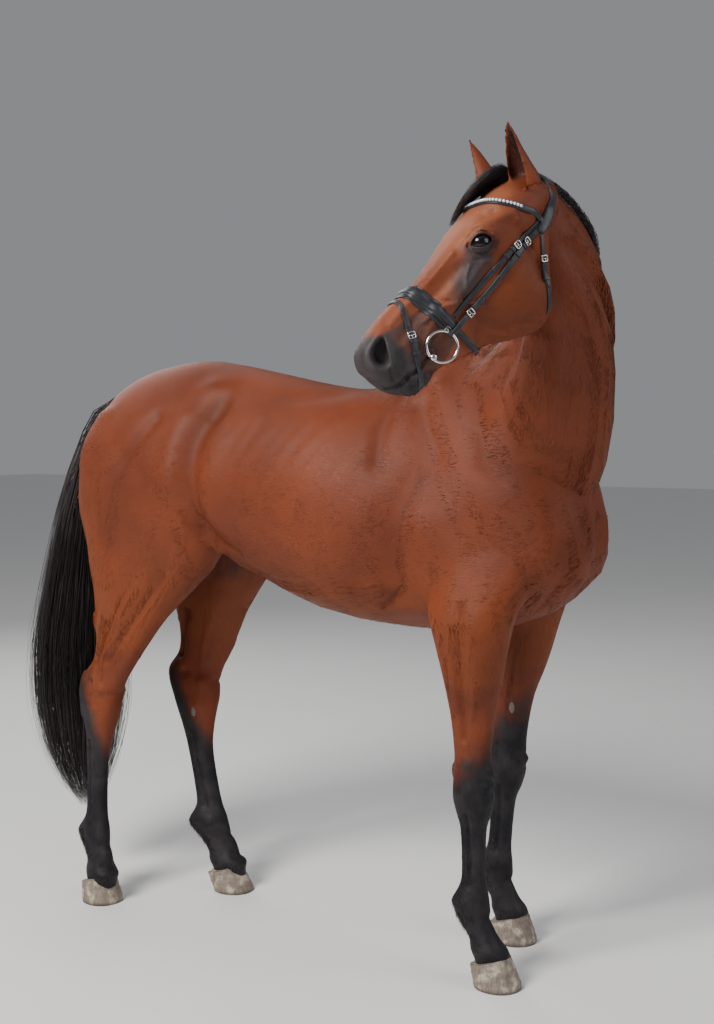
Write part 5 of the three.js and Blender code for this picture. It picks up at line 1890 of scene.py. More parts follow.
class HORSE_OT_long_hair(bpy.types.Operator):
    """Adds the longer hair: fetlocks, coronets, outline, ears, whiskers and lashes"""

    bl_idname = "horse.long_hair"
    bl_label = "Long hair"

    def execute(self, context):
        add_long_hair("leg_feathers", hair_material("black_leg_hair"), "hair")
        add_long_hair("coat_fringe", coat_material("bay_fringe", False), "coat")
        add_long_hair("muzzle_whiskers", hair_material("whiskers"), "hair")
        add_lashes()
        return {"FINISHED"}


# Tail sections: z, its middle's x, half length and half width.
TAIL = [
    (1560, -760, 34, 34),
    (1520, -792, 50, 48),
    (1450, -830, 62, 58),
    (1300, -872, 82, 76),
    (1150, -906, 98, 90),
    (950, -930, 122, 108),
    (750, -948, 152, 128),
    (550, -945, 172, 138),
    (400, -938, 152, 124),
    (270, -918, 78, 66),
    (215, -900, 16, 14),
]


def tail_paths(random, count, steps):
    """Strands from along the dock that fill the tail's outline in clumps."""
    clumps = 110
    clump = random.integers(0, clumps, count)
    clump_angle = random.uniform(0, 2 * math.pi, clumps)
    clump_reach = np.sqrt(random.uniform(0.12, 0.94, clumps))
    clump_tip = random.uniform(0, 1, clumps) ** 1.8
    angle = clump_angle[clump] + random.normal(0, 0.24, count)
    reach = np.clip(clump_reach[clump] + random.normal(0, 0.09, count), 0, 1.0)
    reach *= np.where(random.uniform(0, 1, count) > 0.9, 1.15, 1)
    top = 1566 - 300 * random.uniform(0, 1, count) ** 2
    tip = 222 + 430 * np.clip(clump_tip[clump] * 0.8 + random.uniform(0, 0.35, count) ** 2, 0, 1)
    t = np.linspace(0, 1, steps)[None, :]
    z = top[:, None] + (tip - top)[:, None] * t
    rows = np.array(TAIL)[::-1]
    middle, long, wide = (np.interp(z, rows[:, 0], rows[:, k]) for k in (1, 2, 3))
    dock = np.array(DOCK)[::-1]
    root_x = np.interp(top, dock[:, 1], dock[:, 0])[:, None] - 8
    spread = smooth((top[:, None] - z) / 70 + 0.55)
    gather = 1 - 0.22 * smooth((t - 0.6) / 0.4)
    wave = random.uniform(0, 2 * math.pi, (count, 2))[:, :, None]
    sway = 9 * t * np.sin(wave[:, 0] + t * 5.5) + 3 * t * np.sin(wave[:, 1] + t * 15)
    cross = 7 * t * np.cos(wave[:, 1] + t * 4.5) + 2.5 * t * np.sin(wave[:, 0] + t * 17)
    reach, c, s = (values[:, None] for values in (reach, np.cos(angle), np.sin(angle)))
    x = root_x + (middle + (long * reach * gather) * c - root_x) * spread + sway
    y = wide * reach * gather * s * spread + 16 * (1 - spread) * s + cross
    return np.stack([x, y, z], axis=2)


# Pieces of the tail: count of strands, steps of each, thickness, and the nodes it stands for.
TAIL_PIECES = {"tail_locks": (1300, 18, 3.1, ("tail_hair",)), "tail_strands": (1500, 16, 1.7, ())}


class HORSE_OT_tail(bpy.types.Operator):
    """Hangs the tail's long black locks from the dock"""

    bl_idname = "horse.tail"
    bl_label = "Tail"

    def execute(self, context):
        random = np.random.default_rng(11)
        material = hair_material("black_tail_hair")
        for name, (count, steps, thick, nodes) in TAIL_PIECES.items():
            paths = tail_paths(random, count, steps)
            radii = tapered(random, thick, (0.6, 1.25), count, steps, 2.2)
            locks_piece(name, paths, radii, (-1.0, 0, 0), material, *nodes)
        return {"FINISHED"}


# How far the crest leans to the left at each neck section, in degrees, where the bent neck twists.
CREST_LEAN = [0, 2, 8, 18, 36, 52, 58, 54, 44, 34]
NECK_FINE = 8  # fine rows between two neck sections
CREST_RUN = 4  # millimetres between the grid's columns


def crest_grid(runs):
    """Points right of the crest and their outward ways, by fine neck row and by distance round it."""
    points, ways = [], []
    for index, (x, y, z, heading, slope, above, _, half, shape, _) in enumerate(neck_rows(NECK_FINE)):
        _, crest, side = neck_axes(heading, slope)
        lean = np.interp(index / NECK_FINE, np.arange(len(CREST_LEAN)), CREST_LEAN)
        angle = np.radians(np.linspace(92 - lean, 174 - lean, 48))
        c, s = np.cos(angle), np.sin(angle)
        wide = half * np.sign(c) * np.abs(c) ** (2 / shape)
        high = above * np.abs(s) ** (2 / shape)
        reach = np.concatenate([[0], np.cumsum(np.hypot(np.diff(wide), np.diff(high)))])
        across, up = (np.interp(runs, reach, values)[:, None] for values in (wide, high))
        outward = across / half**2 * side + up / above**2 * crest
        points.append(np.array([x, y, z]) + across * side + up * crest)
        ways.append(outward / np.linalg.norm(outward, axis=1)[:, None])
    return np.array(points), np.array(ways)


def between(grid, row, column):
    """Values of a grid at places between its rows and columns."""
    i = np.clip(row.astype(int), 0, grid.shape[0] - 2)
    j = np.clip(column.astype(int), 0, grid.shape[1] - 2)
    f, g = np.clip(row - i, 0, 1)[..., None], np.clip(column - j, 0, 1)[..., None]
    near = grid[i, j] * (1 - f) + grid[i + 1, j] * f
    far = grid[i, j + 1] * (1 - f) + grid[i + 1, j + 1] * f
    return near * (1 - g) + far * g


def mane_paths(random, count, steps):
    """Locks from the crest that lean over to the right and flow down along the neck."""
    points, ways = crest_grid(np.arange(0, 161, CREST_RUN))
    t = np.linspace(0, 1, steps)[None, :]
    row = random.uniform(0.35, 8.95, count)[:, None]
    length = (80 + 34 * row / 9) * random.uniform(0.5, 1.15, count)[:, None]
    down = random.uniform(0.5, 0.95, count)[:, None]
    wave = random.uniform(0, 2 * math.pi, (count, 1))
    place = row * NECK_FINE - down * length * t / 11.5
    run = random.uniform(0, 20, count)[:, None] + length * (1.15 - down) * t + 3 * t * np.sin(wave + 5 * t)
    high = 6 + 13 * random.uniform(0, 1, count)[:, None] ** 2
    puff = high * np.sin(np.clip(t * 0.85 + 0.05, 0, 1) * math.pi) ** 0.8 - 1.5 + 2.5 * t
    column = run / CREST_RUN
    return between(points, place, column) + puff[..., None] * between(ways, place, column)


class HORSE_OT_mane(bpy.types.Operator):
    """Lays the short black mane over the crest to the right"""

    bl_idname = "horse.mane"
    bl_label = "Mane"

    def execute(self, context):
        random = np.random.default_rng(23)
        count, steps = 3600, 9
        paths = mane_paths(random, count, steps)
        radii = tapered(random, 1.0, (0.4, 1.3), count, steps)
        locks_piece("mane_locks", paths, radii, (0, 0, 1.0), hair_material("black_mane_hair"), "mane")
        return {"FINISHED"}


# The forelock's middle line on the head (along it, left, out), its half width and half thickness.
FORELOCK = [
    (8, 6, -30, 30, 8),
    (22, -3, -8, 42, 13),
    (50, -17, 2, 44, 13),
    (90, -35, 4, 40, 11),
    (125, -54, 0, 32, 9),
    (160, -70, -10, 20, 6),
]


def forelock_paths(random, count, steps):
    """Locks from between the ears swept over the right of the forehead."""
    t = np.linspace(0, 1, steps)
    rows = np.array(FORELOCK, float)
    across = unit(LEFT + 0.35 * OUT)
    lift = unit(OUT - 0.35 * LEFT)
    paths = np.empty((count, steps, 3))
    for k in range(count):
        length = random.uniform(0.5, 1.0)
        at = np.stack([np.interp(t * length * 5, np.arange(6), rows[:, c]) for c in range(5)], axis=1)
        u, v = random.uniform(-1, 1), random.uniform(-0.5, 1)
        wave = random.uniform(0, 2 * math.pi)
        stray = 1 + 0.7 * random.uniform(0, 1) ** 6
        offset = u * stray * at[:, 3] * (1 + 0.25 * t) + 6 * t * np.sin(wave + t * 6)
        high = v * at[:, 4] * math.sqrt(1 - 0.7 * u * u) + 2 + 2 * np.sin(wave * 2 + t * 9) * t
        centre = POLL + at[:, :3] @ HEAD_AXES
        paths[k] = centre + offset[:, None] * across + high[:, None] * lift
    return paths


class HORSE_OT_forelock(bpy.types.Operator):
    """Lays the black forelock over the right of the forehead"""

    bl_idname = "horse.forelock"
    bl_label = "Forelock"

    def execute(self, context):
        random = np.random.default_rng(31)
        count, steps = 1700, 12
        paths = forelock_paths(random, count, steps)
        radii = tapered(random, 0.9, (0.5, 1.3), count, steps)
        material = hair_material("black_forelock_hair")
        locks_piece("forelock_locks", paths, radii, OUT, material, "forelock", "forelock_tip")
        return {"FINISHED"}


# ---------------------------------------------------------------- hooves
# Rings of a hoof: height at the toe and at the heel, length, width, and how far it sits forward.
HOOF = [(0, 0, 126, 118, 0), (14, 10, 124, 117, -2), (74, 46, 106, 102, -20), (80, 51, 100, 96, -22)]


def hoof_shape(leg, seed):
    """A hoof with its growth rings, a worn lower edge and a rounded top."""
    random = np.random.default_rng(seed)
    _, back, front, inner, outer, _ = leg["table"][-1]
    wave = random.uniform(0, 6.28, 6)
    count = 56
    angle = turns(count)
    rings = []
    rows = [HOOF[0], *fine_rows(HOOF[1:], 13)]
    for k, (toe, heel, long, wide, shift) in enumerate(rows):
        tilt = math.atan2(toe - heel, long)
        share = k / (len(rows) - 1)
        ripple = 0.55 * math.sin(share * 46 + wave[0]) + 0.4 * math.sin(share * 23 + wave[1])
        inset = 5 * smooth((share - 0.93) / 0.07) + (1.2 if k == 0 else 0) - ripple * (0 < share < 0.93)
        centre = ((back + front) / 2 + leg["hoof_forward"] + shift, (inner + outer) / 2, (toe + heel) / 2)
        forward = (math.cos(tilt), 0, math.sin(tilt))
        half_long = long / 2 / math.cos(tilt) - inset
        line = oval(centre, forward, (0, 1, 0), half_long, wide / 2 - inset, count, 2.15)
        line[:, 2] = np.maximum(0, line[:, 2] + (1.2 * np.sin(3 * angle + wave[2]) * share if k else 0))
        line[:, 0] += 5 * np.exp(-(((np.abs(angle - math.pi)) / 0.22) ** 2)) * (0.4 + 0.6 * share)
        rings.append(place_leg(leg, line))
    return loft(rings)


def hoof_material():
    """Pale grey-brown horn: fine streaks down the wall, rings across it and cream worn patches."""
    tree = Tree("hoof_horn")
    place = tree.place()
    _, _, height = tree.parts(place)
    streak = tree.grain(place, (190.0, 190.0, 14.0), 3.0, 0.6)
    rings = tree.grain(place, (9.0, 9.0, 260.0), 2.0)
    patch = tree.noise(place, 34.0, 4.0, 0.6)
    paler_cheek_and_lower_face = (patch + (streak - 0.5) * 0.35 - 0.12).step(0.38, 0.52)
    colour = tree.mix((patch - 0.3) * 1.8, rgb(118, 104, 92), rgb(158, 146, 132))
    colour = tree.mix(paler_cheek_and_lower_face * 0.85, colour, rgb(204, 190, 164))
    colour = tree.mix(((streak - 0.42) * 2.2).clamped(), colour, rgb(74, 66, 62))
    colour = tree.mix(height.step(0.05, 0.085) * 0.5, colour, rgb(78, 68, 64))
    colour = tree.mix((1 - height.step(0.0, 0.012)) * 0.6, colour, rgb(70, 64, 60))
    normal = tree.bump(rings * 0.7 + streak * 0.5, 0.55, 0.0016)
    return tree.surface(Base_Color=colour, Roughness=0.62 + (patch - 0.5) * 0.3, Normal=normal)


class HORSE_OT_hooves(bpy.types.Operator):
    """Makes the four hooves"""

    bl_idname = "horse.hooves"
    bl_label = "Hooves"

    def execute(self, context):
        material = hoof_material()
        for seed, (name, leg) in enumerate(LEGS.items(), 3):
            add_piece(f"{name}_horn", hoof_shape(leg, seed), material, "hoof_horn", f"{name}_hoof")
        return {"FINISHED"}


# Where each chestnut sits on the inner face of its leg: across and z.
CHESTNUTS = {"fore": (566, 665), "hind": (-712, 545)}


class HORSE_OT_chestnuts(bpy.types.Operator):
    """Sets the small patch of horn on the inner face of each leg"""

    bl_idname = "horse.chestnuts"
    bl_label = "Chestnuts"

    def execute(self, context):
        surface = Surface(bpy.data.objects["horse_skin"].data)
        shapes = []
        for name, leg in LEGS.items():
            across, z = CHESTNUTS[name.split("_")[0]]
            at, out = surface.leg(leg, "inner", across, z)
            up = unit(np.array([0, 0, 1.0]) - out[2] * out)
            side = np.cross(up, out)
            rings = []
            for lift in np.radians(np.linspace(-50, 84, 7)):
                middle = at + out * (4 * math.sin(lift) - 1)
                rings.append(oval(middle, side, up, 8 * math.cos(lift), 17 * math.cos(lift), 14))
            shapes.append(loft(rings))
        add_piece("chestnuts", joined(shapes), chestnut_material(), "hoof_horn")
        return {"FINISHED"}


def chestnut_material():
    """Dull cracked horn."""
    tree = Tree("chestnut_horn")
    crack = tree.noise(tree.place(), 420.0, 4.0, 0.7)
    colour = tree.mix(crack, rgb(52, 44, 40), rgb(132, 118, 104))
    return tree.surface(Base_Color=colour, Roughness=0.78, Normal=tree.bump(crack, 0.6, 0.0008))


# ---------------------------------------------------------------- eyes
HANDS = {"left": 1, "right": -1}


class HORSE_OT_eyes(bpy.types.Operator):
    """Makes the two eyeballs"""

    bl_idname = "horse.eyes"
    bl_label = "Eyes"

    def execute(self, context):
        for name, hand in HANDS.items():
            centre, axes = eye_frame(hand)
            rings = []
            for lift in np.radians(np.linspace(-82, 86, 36)):
                bulge = 1 + 0.035 * math.exp(-(((math.pi / 2 - lift) / 0.5) ** 2))
                r = EYE["radius"] * bulge
                middle = centre + axes[2] * (r * math.sin(lift) - 0.4)
                wide = r * math.cos(lift)
                rings.append(oval(middle, axes[0], axes[1], wide, wide, 48))
            material = eye_material(name, centre, axes)
            add_piece(f"eyeball_{name}", loft(rings), material, "eye", f"eye_{name}")
        return {"FINISHED"}


def eye_material(name, centre, axes):
    """Dark brown iris with a wide level pupil under a wet clear surface."""
    tree = Tree(f"wet_eye_{name}")
    place = tree.place()
    local = tree.node("ShaderNodeVectorMath", {"operation": "SUBTRACT"}, [place, tuple(metres(centre))])
    across, up = (
        tree.node("ShaderNodeVectorMath", {"operation": "DOT_PRODUCT"}, [local, tuple(axis)], output="Value")
        for axis in axes[:2]
    )
    flat = (across * across + up * up) ** 0.5
    angle = tree.node("ShaderNodeMath", {"operation": "ARCTAN2"}, [up, across])
    ray = tree.noise(tree.node("ShaderNodeCombineXYZ", None, [angle * 9.0, flat * 90.0, 0.0]), 1.0, 3.0)
    pupil = ((across / 0.0088) * (across / 0.0088) + (up / 0.0052) * (up / 0.0052)) ** 0.5
    colour = tree.mix(ray, rgb(14, 8, 6), rgb(32, 19, 12))
    colour = tree.mix(flat.step(0.011, 0.0175), colour, rgb(16, 9, 7))
    colour = tree.mix(1 - pupil.step(0.85, 1.15), colour, rgb(6, 6, 10))
    colour = tree.mix(flat.step(0.0205, 0.0225), colour, rgb(58, 42, 38))
    return tree.surface(Base_Color=colour, Roughness=0.03 + ray * 0.02, Coat_Weight=0.3, Coat_Roughness=0.03,
                        Specular_IOR_Level=0.25)


# ---------------------------------------------------------------- bridle
class Path:
    """Contacts on the skin in a row, with the way out of it and the way along."""

    def __init__(self, contacts, closed=False, rounds=3):
        self.at = np.array([c[0] for c in contacts])
        self.normal = np.array([c[1] for c in contacts])
        self.closed = closed
        for _ in range(rounds):
            self.at = self.blurred(self.at)
            self.normal = self.blurred(self.normal)
        self.normal /= np.linalg.norm(self.normal, axis=1)[:, None]
        if closed:
            self.along = np.roll(self.at, -1, axis=0) - np.roll(self.at, 1, axis=0)
        else:
            self.along = np.gradient(self.at, axis=0)
        self.along /= np.linalg.norm(self.along, axis=1)[:, None]
        self.across = np.cross(self.normal, self.along)
        self.across /= np.linalg.norm(self.across, axis=1)[:, None]
        self.out = np.cross(self.along, self.across)

    def blurred(self, values):
        """Each value mixed with its two neighbours."""
        if self.closed:
            return (np.roll(values, 1, axis=0) + 2 * values + np.roll(values, -1, axis=0)) / 4
        mixed = values.copy()
        mixed[1:-1] = (values[:-2] + 2 * values[1:-1] + values[2:]) / 4
        return mixed

    def __len__(self):
        return len(self.at)

    def part(self, first, last):
        """The run between two shares of its length."""
        a, b = (int(round(share * (len(self) - 1))) for share in (first, last))
        made = copy.copy(self)
        made.closed = False
        for key in ("at", "normal", "along", "across", "out"):
            setattr(made, key, getattr(self, key)[a:b + 1])
        return made

    def frame(self, share):
        """The place at a share of its length, and the ways across, along and out there."""
        k = int(round(share * (len(self) - 1)))
        return self.at[k], self.across[k], self.along[k], self.out[k]

    def line(self, across, high):
        """A line beside the path, moved across it and out of it."""
        across, high = (np.broadcast_to(value, len(self))[:, None] for value in (across, high))
        return self.at + self.across * across + self.out * high


def along_path(value, path):
    """A value at each step of a path. It is one number, or a function of the share of the length."""
    return np.array([value(t) if callable(value) else value for t in np.linspace(0, 1, len(path))])


def strap_section(*half):
    """A strap's section across in half widths and high in thicknesses, made whole from one half."""
    return half + tuple((-across, high) for across, high in half[-2::-1])


FLAT_STRAP = strap_section((-1, 0.0), (-1, 0.62), (-0.9, 0.95), (-0.72, 1.0), (0, 1.02))
ROLLED_STRAP = strap_section((-1, 0.0), (-0.98, 0.4), (-0.82, 0.8), (-0.45, 1.0), (0, 1.05))
PADDED_STRAP = strap_section((-1, 0.0), (-1.02, 0.3), (-0.96, 0.52), (-0.86, 0.46), (-0.82, 0.3),
                             (-0.72, 0.62), (-0.4, 0.94), (0, 1.05))


def strap(path, width, thick, lift, section=FLAT_STRAP, tips=(False, False)):
    """A strap along a path: a rounded section, its tips rounded off where asked."""
    share = np.linspace(0, 1, len(path))
    length = np.linalg.norm(np.diff(path.at, axis=0), axis=1).sum()
    width = along_path(width, path) / 2
    for tip, distance in zip(tips, (share * length, (1 - share) * length)):
        if tip:
            near = np.clip(distance / 7, 0.0, 1)
            width = width * np.sqrt(np.clip(1 - (1 - near) ** 2, 0.02, 1))
    lift = along_path(lift, path)
    rings = [path.line(width * u, lift + thick * h) for u, h in section]
    return loft(list(np.stack(rings, axis=1)), path.closed)


def tube(line, radius, closed=False, count=10):
    """A round wire along a line."""
    line = np.asarray(line, float)
    along = np.roll(line, -1, axis=0) - np.roll(line, 1, axis=0) if closed else np.gradient(line, axis=0)
    normal = np.cross(along[0], (0.3, 0.2, 0.9))
    rings = []
    for at, way in zip(line, along):
        way = unit(way)
        normal = unit(normal - normal @ way * way)
        rings.append(oval(at, normal, np.cross(way, normal), radius, radius, count))
    return loft(rings, closed)


def squared(value, power):
    """A cosine or sine taken to a power with its sign kept, which squares off the circle it draws."""
    return np.sign(value) * np.abs(value) ** power


def buckle(path, share, width, long, lift):
    """A rounded wire frame with a bar and a tongue, lying on a strap."""
    at, across, along, out = path.frame(share)
    centre = at + out * (lift + 1.2)
    c, s = np.cos(turns(40)), np.sin(turns(40))
    wire = centre + np.outer(squared(c, 0.45) * width / 2, across)
    wire += np.outer(squared(s, 0.45) * long / 2, along)
    wire += np.outer(1.2 * (1 - c * c), out)
    bar = [centre - across * width / 2, centre, centre + across * width / 2]
    reach = np.linspace(-1, long * 0.55, 5)
    tongue = [centre + along * d + out * (1.6 + 0.8 * math.sin(k)) for k, d in enumerate(reach)]
    return joined([tube(wire, 1.4, True), tube(bar, 1.2), tube(tongue, 1.1)])


def keeper(path, share, width, high, long, lift):
    """A closed leather loop round a strap."""
    at, across, along, out = path.frame(share)
    c, s = np.cos(turns(28)), np.sin(turns(28))
    reach = squared(c, 0.4) * (width / 2 + 1.2)
    rise = lift + high / 2 + squared(s, 0.5) * (high / 2 + 0.9)
    middle = at + np.outer(reach, across) + np.outer(rise, out)
    outward = np.outer(squared(c, 0.7), across) + np.outer(squared(s, 0.7), out)
    rings = [oval(centre, along, unit(way), long / 2, 0.9, 12, 5) for centre, way in zip(middle, outward)]
    return loft(rings, True)


def two_keepers(path, shares, width, high, long, lift):
    """The pair of loops that hold a strap's loose end."""
    return [keeper(path, share, width, high, long, lift) for share in shares]


def head_path(surface, hand, rows):
    """A path on one side of the head, through rows of places along it and out of it."""
    return Path([surface.head(hand, s, out) for s, out in fine_rows(rows, 8)])


def round_head(surface, s, tilt, middle, angle):
    """A contact on a loop round the head: an angle of 0 is on its front, 90 on its left."""
    c, d = math.cos(math.radians(angle)), math.sin(math.radians(angle))
    return surface.touch(on_head(s + tilt * c * 260, d * 260, middle + c * 260), on_head(s, 0, middle))


def loop_round_head(surface, angles, closed, rounds, *place):
    """A path round the head through a row of angles."""
    return Path([round_head(surface, *place, angle) for angle in angles], closed, rounds)


def over_head(surface, rows, s, bow, middle):
    """A path up the left of the head, over it and down the right."""
    fine = fine_rows(rows, 4)
    left = [surface.head(1, a, b) for a, b in fine]
    top = [round_head(surface, s, bow, middle, angle) for angle in np.linspace(72, -72, 49)]
    right = [surface.head(-1, a, b) for a, b in fine[::-1]]
    places, normals = (np.array(values) for values in zip(*left, *top, *right))
    reach = np.concatenate([[0], np.cumsum(np.linalg.norm(np.diff(places, axis=0), axis=1))])
    even = np.linspace(0, reach[-1], 120)
    at, normal = (
        np.stack([np.interp(even, reach, values[:, k]) for k in range(3)], axis=1)
        for values in (places, normals)
    )
    return Path(list(zip(at, normal)), rounds=14)


def leather_material():
    """Black bridle leather: fine grain, worn patches, a dull sheen and a painted pale highlight along its
    creases.
    """
    tree = Tree("black_leather")
    place = tree.place()
    grain = tree.cells(place, 1500.0)
    crease = tree.noise(place, 300.0, 4.0, 0.6)
    wear = tree.noise(place, 70.0, 4.0, 0.6)
    colour = tree.mix(wear, rgb(20, 20, 24), rgb(44, 46, 54))
    # Painted highlight: a pale blue-grey sheen where the crease noise is high.
    colour = tree.mix((crease - 0.5).clamped(), colour, rgb(72, 75, 86))
    rough = 0.4 + (wear - 0.5) * 0.3
    normal = tree.bump(grain * 0.6 + crease, 0.35, 0.0005)
    return tree.surface(Base_Color=colour, Roughness=rough, Normal=normal, Specular_IOR_Level=0.45)


def steel_material(name):
    """Polished steel with fine scratches and a little wear."""
    tree = Tree(name)
    place = tree.place()
    scratch = tree.grain(place, (900.0, 120.0, 900.0), 3.0)
    smear = tree.noise(place, 90.0, 3.0)
    colour = tree.mix(smear, rgb(196, 194, 190), rgb(226, 224, 220))
    rough = 0.16 + (smear - 0.5) * 0.16 + (scratch - 0.5) * 0.1
    normal = tree.bump(scratch, 0.12, 0.0002)
    return tree.surface(Base_Color=colour, Metallic=1.0, Roughness=rough, Normal=normal)


def stone_material():
    """Clear cut stones that glitter."""
    tree = Tree("clear_stones")
    spark = tree.cells(tree.place(), 420.0)
    colour = tree.mix(spark, rgb(252, 253, 255), rgb(206, 216, 232))
    rough = 0.06 + spark * 0.05
    return tree.surface(Base_Color=colour, Metallic=0.1, Roughness=rough, Coat_Weight=1.0,
                        Coat_Roughness=0.01)


def thread_material():
    """Dark waxed thread."""
    tree = Tree("waxed_thread")
    twist = tree.noise(tree.place(), 900.0, 2.0)
    colour = tree.mix(twist, rgb(44, 45, 50), rgb(96, 98, 106))
    return tree.surface(Base_Color=colour, Roughness=0.5 + (twist - 0.5) * 0.2)


# The nodes that set beads along a line, and what runs from one to the next.
BEAD_NODES = {
    "start": "NodeGroupInput",
    "curve": "GeometryNodeMeshToCurve",
    "resample": "GeometryNodeResampleCurve",
    "bead": "GeometryNodeMeshIcoSphere",
    "tangent": "GeometryNodeInputTangent",
    "turn": "FunctionNodeAlignRotationToVector",
    "scale": "ShaderNodeCombineXYZ",
    "place": "GeometryNodeInstanceOnPoints",
    "real": "GeometryNodeRealizeInstances",
    "coat": "GeometryNodeSetMaterial",
    "end": "NodeGroupOutput",
}
BEAD_LINKS = (
    ("start", "Geometry", "curve", "Mesh"),
    ("curve", "Curve", "resample", "Curve"),
    ("start", "Spacing", "resample", "Length"),
    ("start", "Size", "bead", "Radius"),
    ("tangent", "Tangent", "turn", "Vector"),
    ("start", "Flatness", "scale", "Y"),
    ("start", "Flatness", "scale", "Z"),
    ("resample", "Curve", "place", "Points"),
    ("bead", "Mesh", "place", "Instance"),
    ("turn", "Rotation", "place", "Rotation"),
    ("scale", "Vector", "place", "Scale"),
    ("place", "Instances", "real", "Geometry"),
    ("real", "Geometry", "coat", "Geometry"),
    ("coat", "Geometry", "end", "Geometry"),
)


def bead_group(name, labels, material):
    """Geometry Nodes that set one small rounded bead after another along a line, turned along it."""
    group = bpy.data.node_groups.new(name, "GeometryNodeTree")
    group.interface.new_socket("Geometry", in_out="INPUT", socket_type="NodeSocketGeometry")
    for label in labels:
        group.interface.new_socket(label, in_out="INPUT", socket_type="NodeSocketFloat")
    group.interface.new_socket("Geometry", in_out="OUTPUT", socket_type="NodeSocketGeometry")
    nodes = {label: group.nodes.new(kind) for label, kind in BEAD_NODES.items()}
    nodes["resample"].mode = "LENGTH"
    nodes["bead"].inputs["Subdivisions"].default_value = 2
    nodes["turn"].axis = "X"
    nodes["scale"].inputs["X"].default_value = 1.0
    nodes["coat"].inputs["Material"].default_value = material
    for start, output, end, socket in BEAD_LINKS:
        group.links.new(nodes[start].outputs[output], nodes[end].inputs[socket])
    return group


def repeated(name, lines, spacing, size, flat, material):
    """A piece of small beads or stitches along lines."""
    edges, start = [], 0
    for line in lines:
        edges += [(start + k, start + k + 1) for k in range(len(line) - 1)]
        start += len(line)
    mesh = bpy.data.meshes.new(name)
    mesh.from_pydata([tuple(point) for line in lines for point in metres(line)], edges, [])
    made = bpy.data.objects.new(name, mesh)
    bpy.context.scene.collection.objects.link(made)
    sizes = {"Spacing": spacing, "Size": size, "Flatness": flat}
    row = made.modifiers.new("row", "NODES")
    row.node_group = bead_group(f"{name}_row", sizes, material)
    for socket in row.node_group.interface.items_tree:
        if socket.name in sizes:
            row[socket.identifier] = sizes[socket.name]
    return applied(made)


class Bridle:
    """Gathers the bridle's shapes by piece, and makes the pieces at the end."""

    def __init__(self, skin):
        self.surface = Surface(skin, without_ears=True)
        self.pieces = {}
        self.stitches = []

    def add(self, slot, name, node, shapes):
        """Adds shapes to a piece, which stands for one node or for none."""
        self.pieces.setdefault(name, (slot, node, []))[2].extend(shapes)

    def leather(self, name, node, *shapes):
        self.add("bridle_leather", name, node, shapes)

    def steel(self, name, node, *shapes):
        self.add("steel", name, node, shapes)

    def stitch(self, path, width, high, inset=1.8):
        """Adds a row of stitches along each edge of a strap."""
        half = along_path(width, path) / 2 - inset
        high = along_path(high, path)
        self.stitches += [path.line(half, high), path.line(-half, high)]

    def make(self):
        """Makes each piece and the stitches."""
        materials = {"bridle_leather": leather_material(), "steel": steel_material("polished_steel")}
        for name, (slot, node, shapes) in self.pieces.items():
            add_piece(name, joined(shapes), materials[slot], slot, *([node] if node else []))
        stitches = repeated("bridle_stitches", self.stitches, 0.0042, 0.0013, 0.32, thread_material())
        hand_over(stitches, "bridle_leather")


def add_noseband(bridle):
    """The padded band round the nose, with its loops, loose ends and strap under the jaw."""
    on = bridle.surface
    path = loop_round_head(on, np.arange(0, 360, 3), True, 4, 384, 0.02, -105)

    def width(t):
        under_jaw = smooth((abs(t - 0.5) - 0.11) / 0.05)
        return 15 + under_jaw * (10 + 13 * abs(math.cos(t * math.pi)) ** 3)

    piece = ("noseband_padding", "noseband")
    bridle.leather(*piece, strap(path, width, 5.5, 0.4, PADDED_STRAP))
    upper = Path(list(zip(path.at + path.out * 4.6, path.normal)), True, 1)
    bridle.leather(*piece, strap(upper, lambda t: width(t) * 0.56, 3.6, 0.0, ROLLED_STRAP))
    bridle.stitch(path, lambda t: width(t) * 0.74, 4.9, 0.6)
    under = loop_round_head(on, np.arange(-118, 119, 3), False, 4, 404, 0.02, -105)
    bridle.leather(*piece, strap(under, 8, 3.0, 0.6, tips=(True, True)))
    for hand in HANDS.values():
        at = round_head(on, 398, 0, -105, hand * 122)
        loop = Path([at, (at[0] + ALONG, at[1])], rounds=0)
        bridle.steel("noseband_loops", None, buckle(loop, 0, 15, 13, 2.4))
        back = range(0, 40, 3)
        contacts = [round_head(on, 388 - 0.2 * turn, 0, -105, hand * (132 + turn)) for turn in back]
        tail = Path(contacts, rounds=2)
        bridle.leather(*piece, strap(tail, 11, 2.4, lambda t: 5 + 9 * t * t, tips=(True, True)))


def add_flash(bridle):
    """The thin strap from the noseband round the chin."""
    path = loop_round_head(bridle.surface, np.arange(0, 360, 3), True, 5, 480, -0.66, -92)
    piece = ("flash_band", "flash_strap")
    bridle.leather(*piece, strap(path, 13, 3.0, 1.0))
    bridle.stitch(path, 13, 4.1)
    share = 0.2
    loose = path.part(share - 0.01, share + 0.15)
    bridle.leather(*piece, strap(loose, 12, 2.6, 4.2, tips=(False, True)),
                   *two_keepers(path, (share + 0.034, share + 0.1), 13, 7.4, 7, 0.6))
    bridle.steel("flash_fastening", "flash_buckle", buckle(path, share, 17, 15, 6.0))


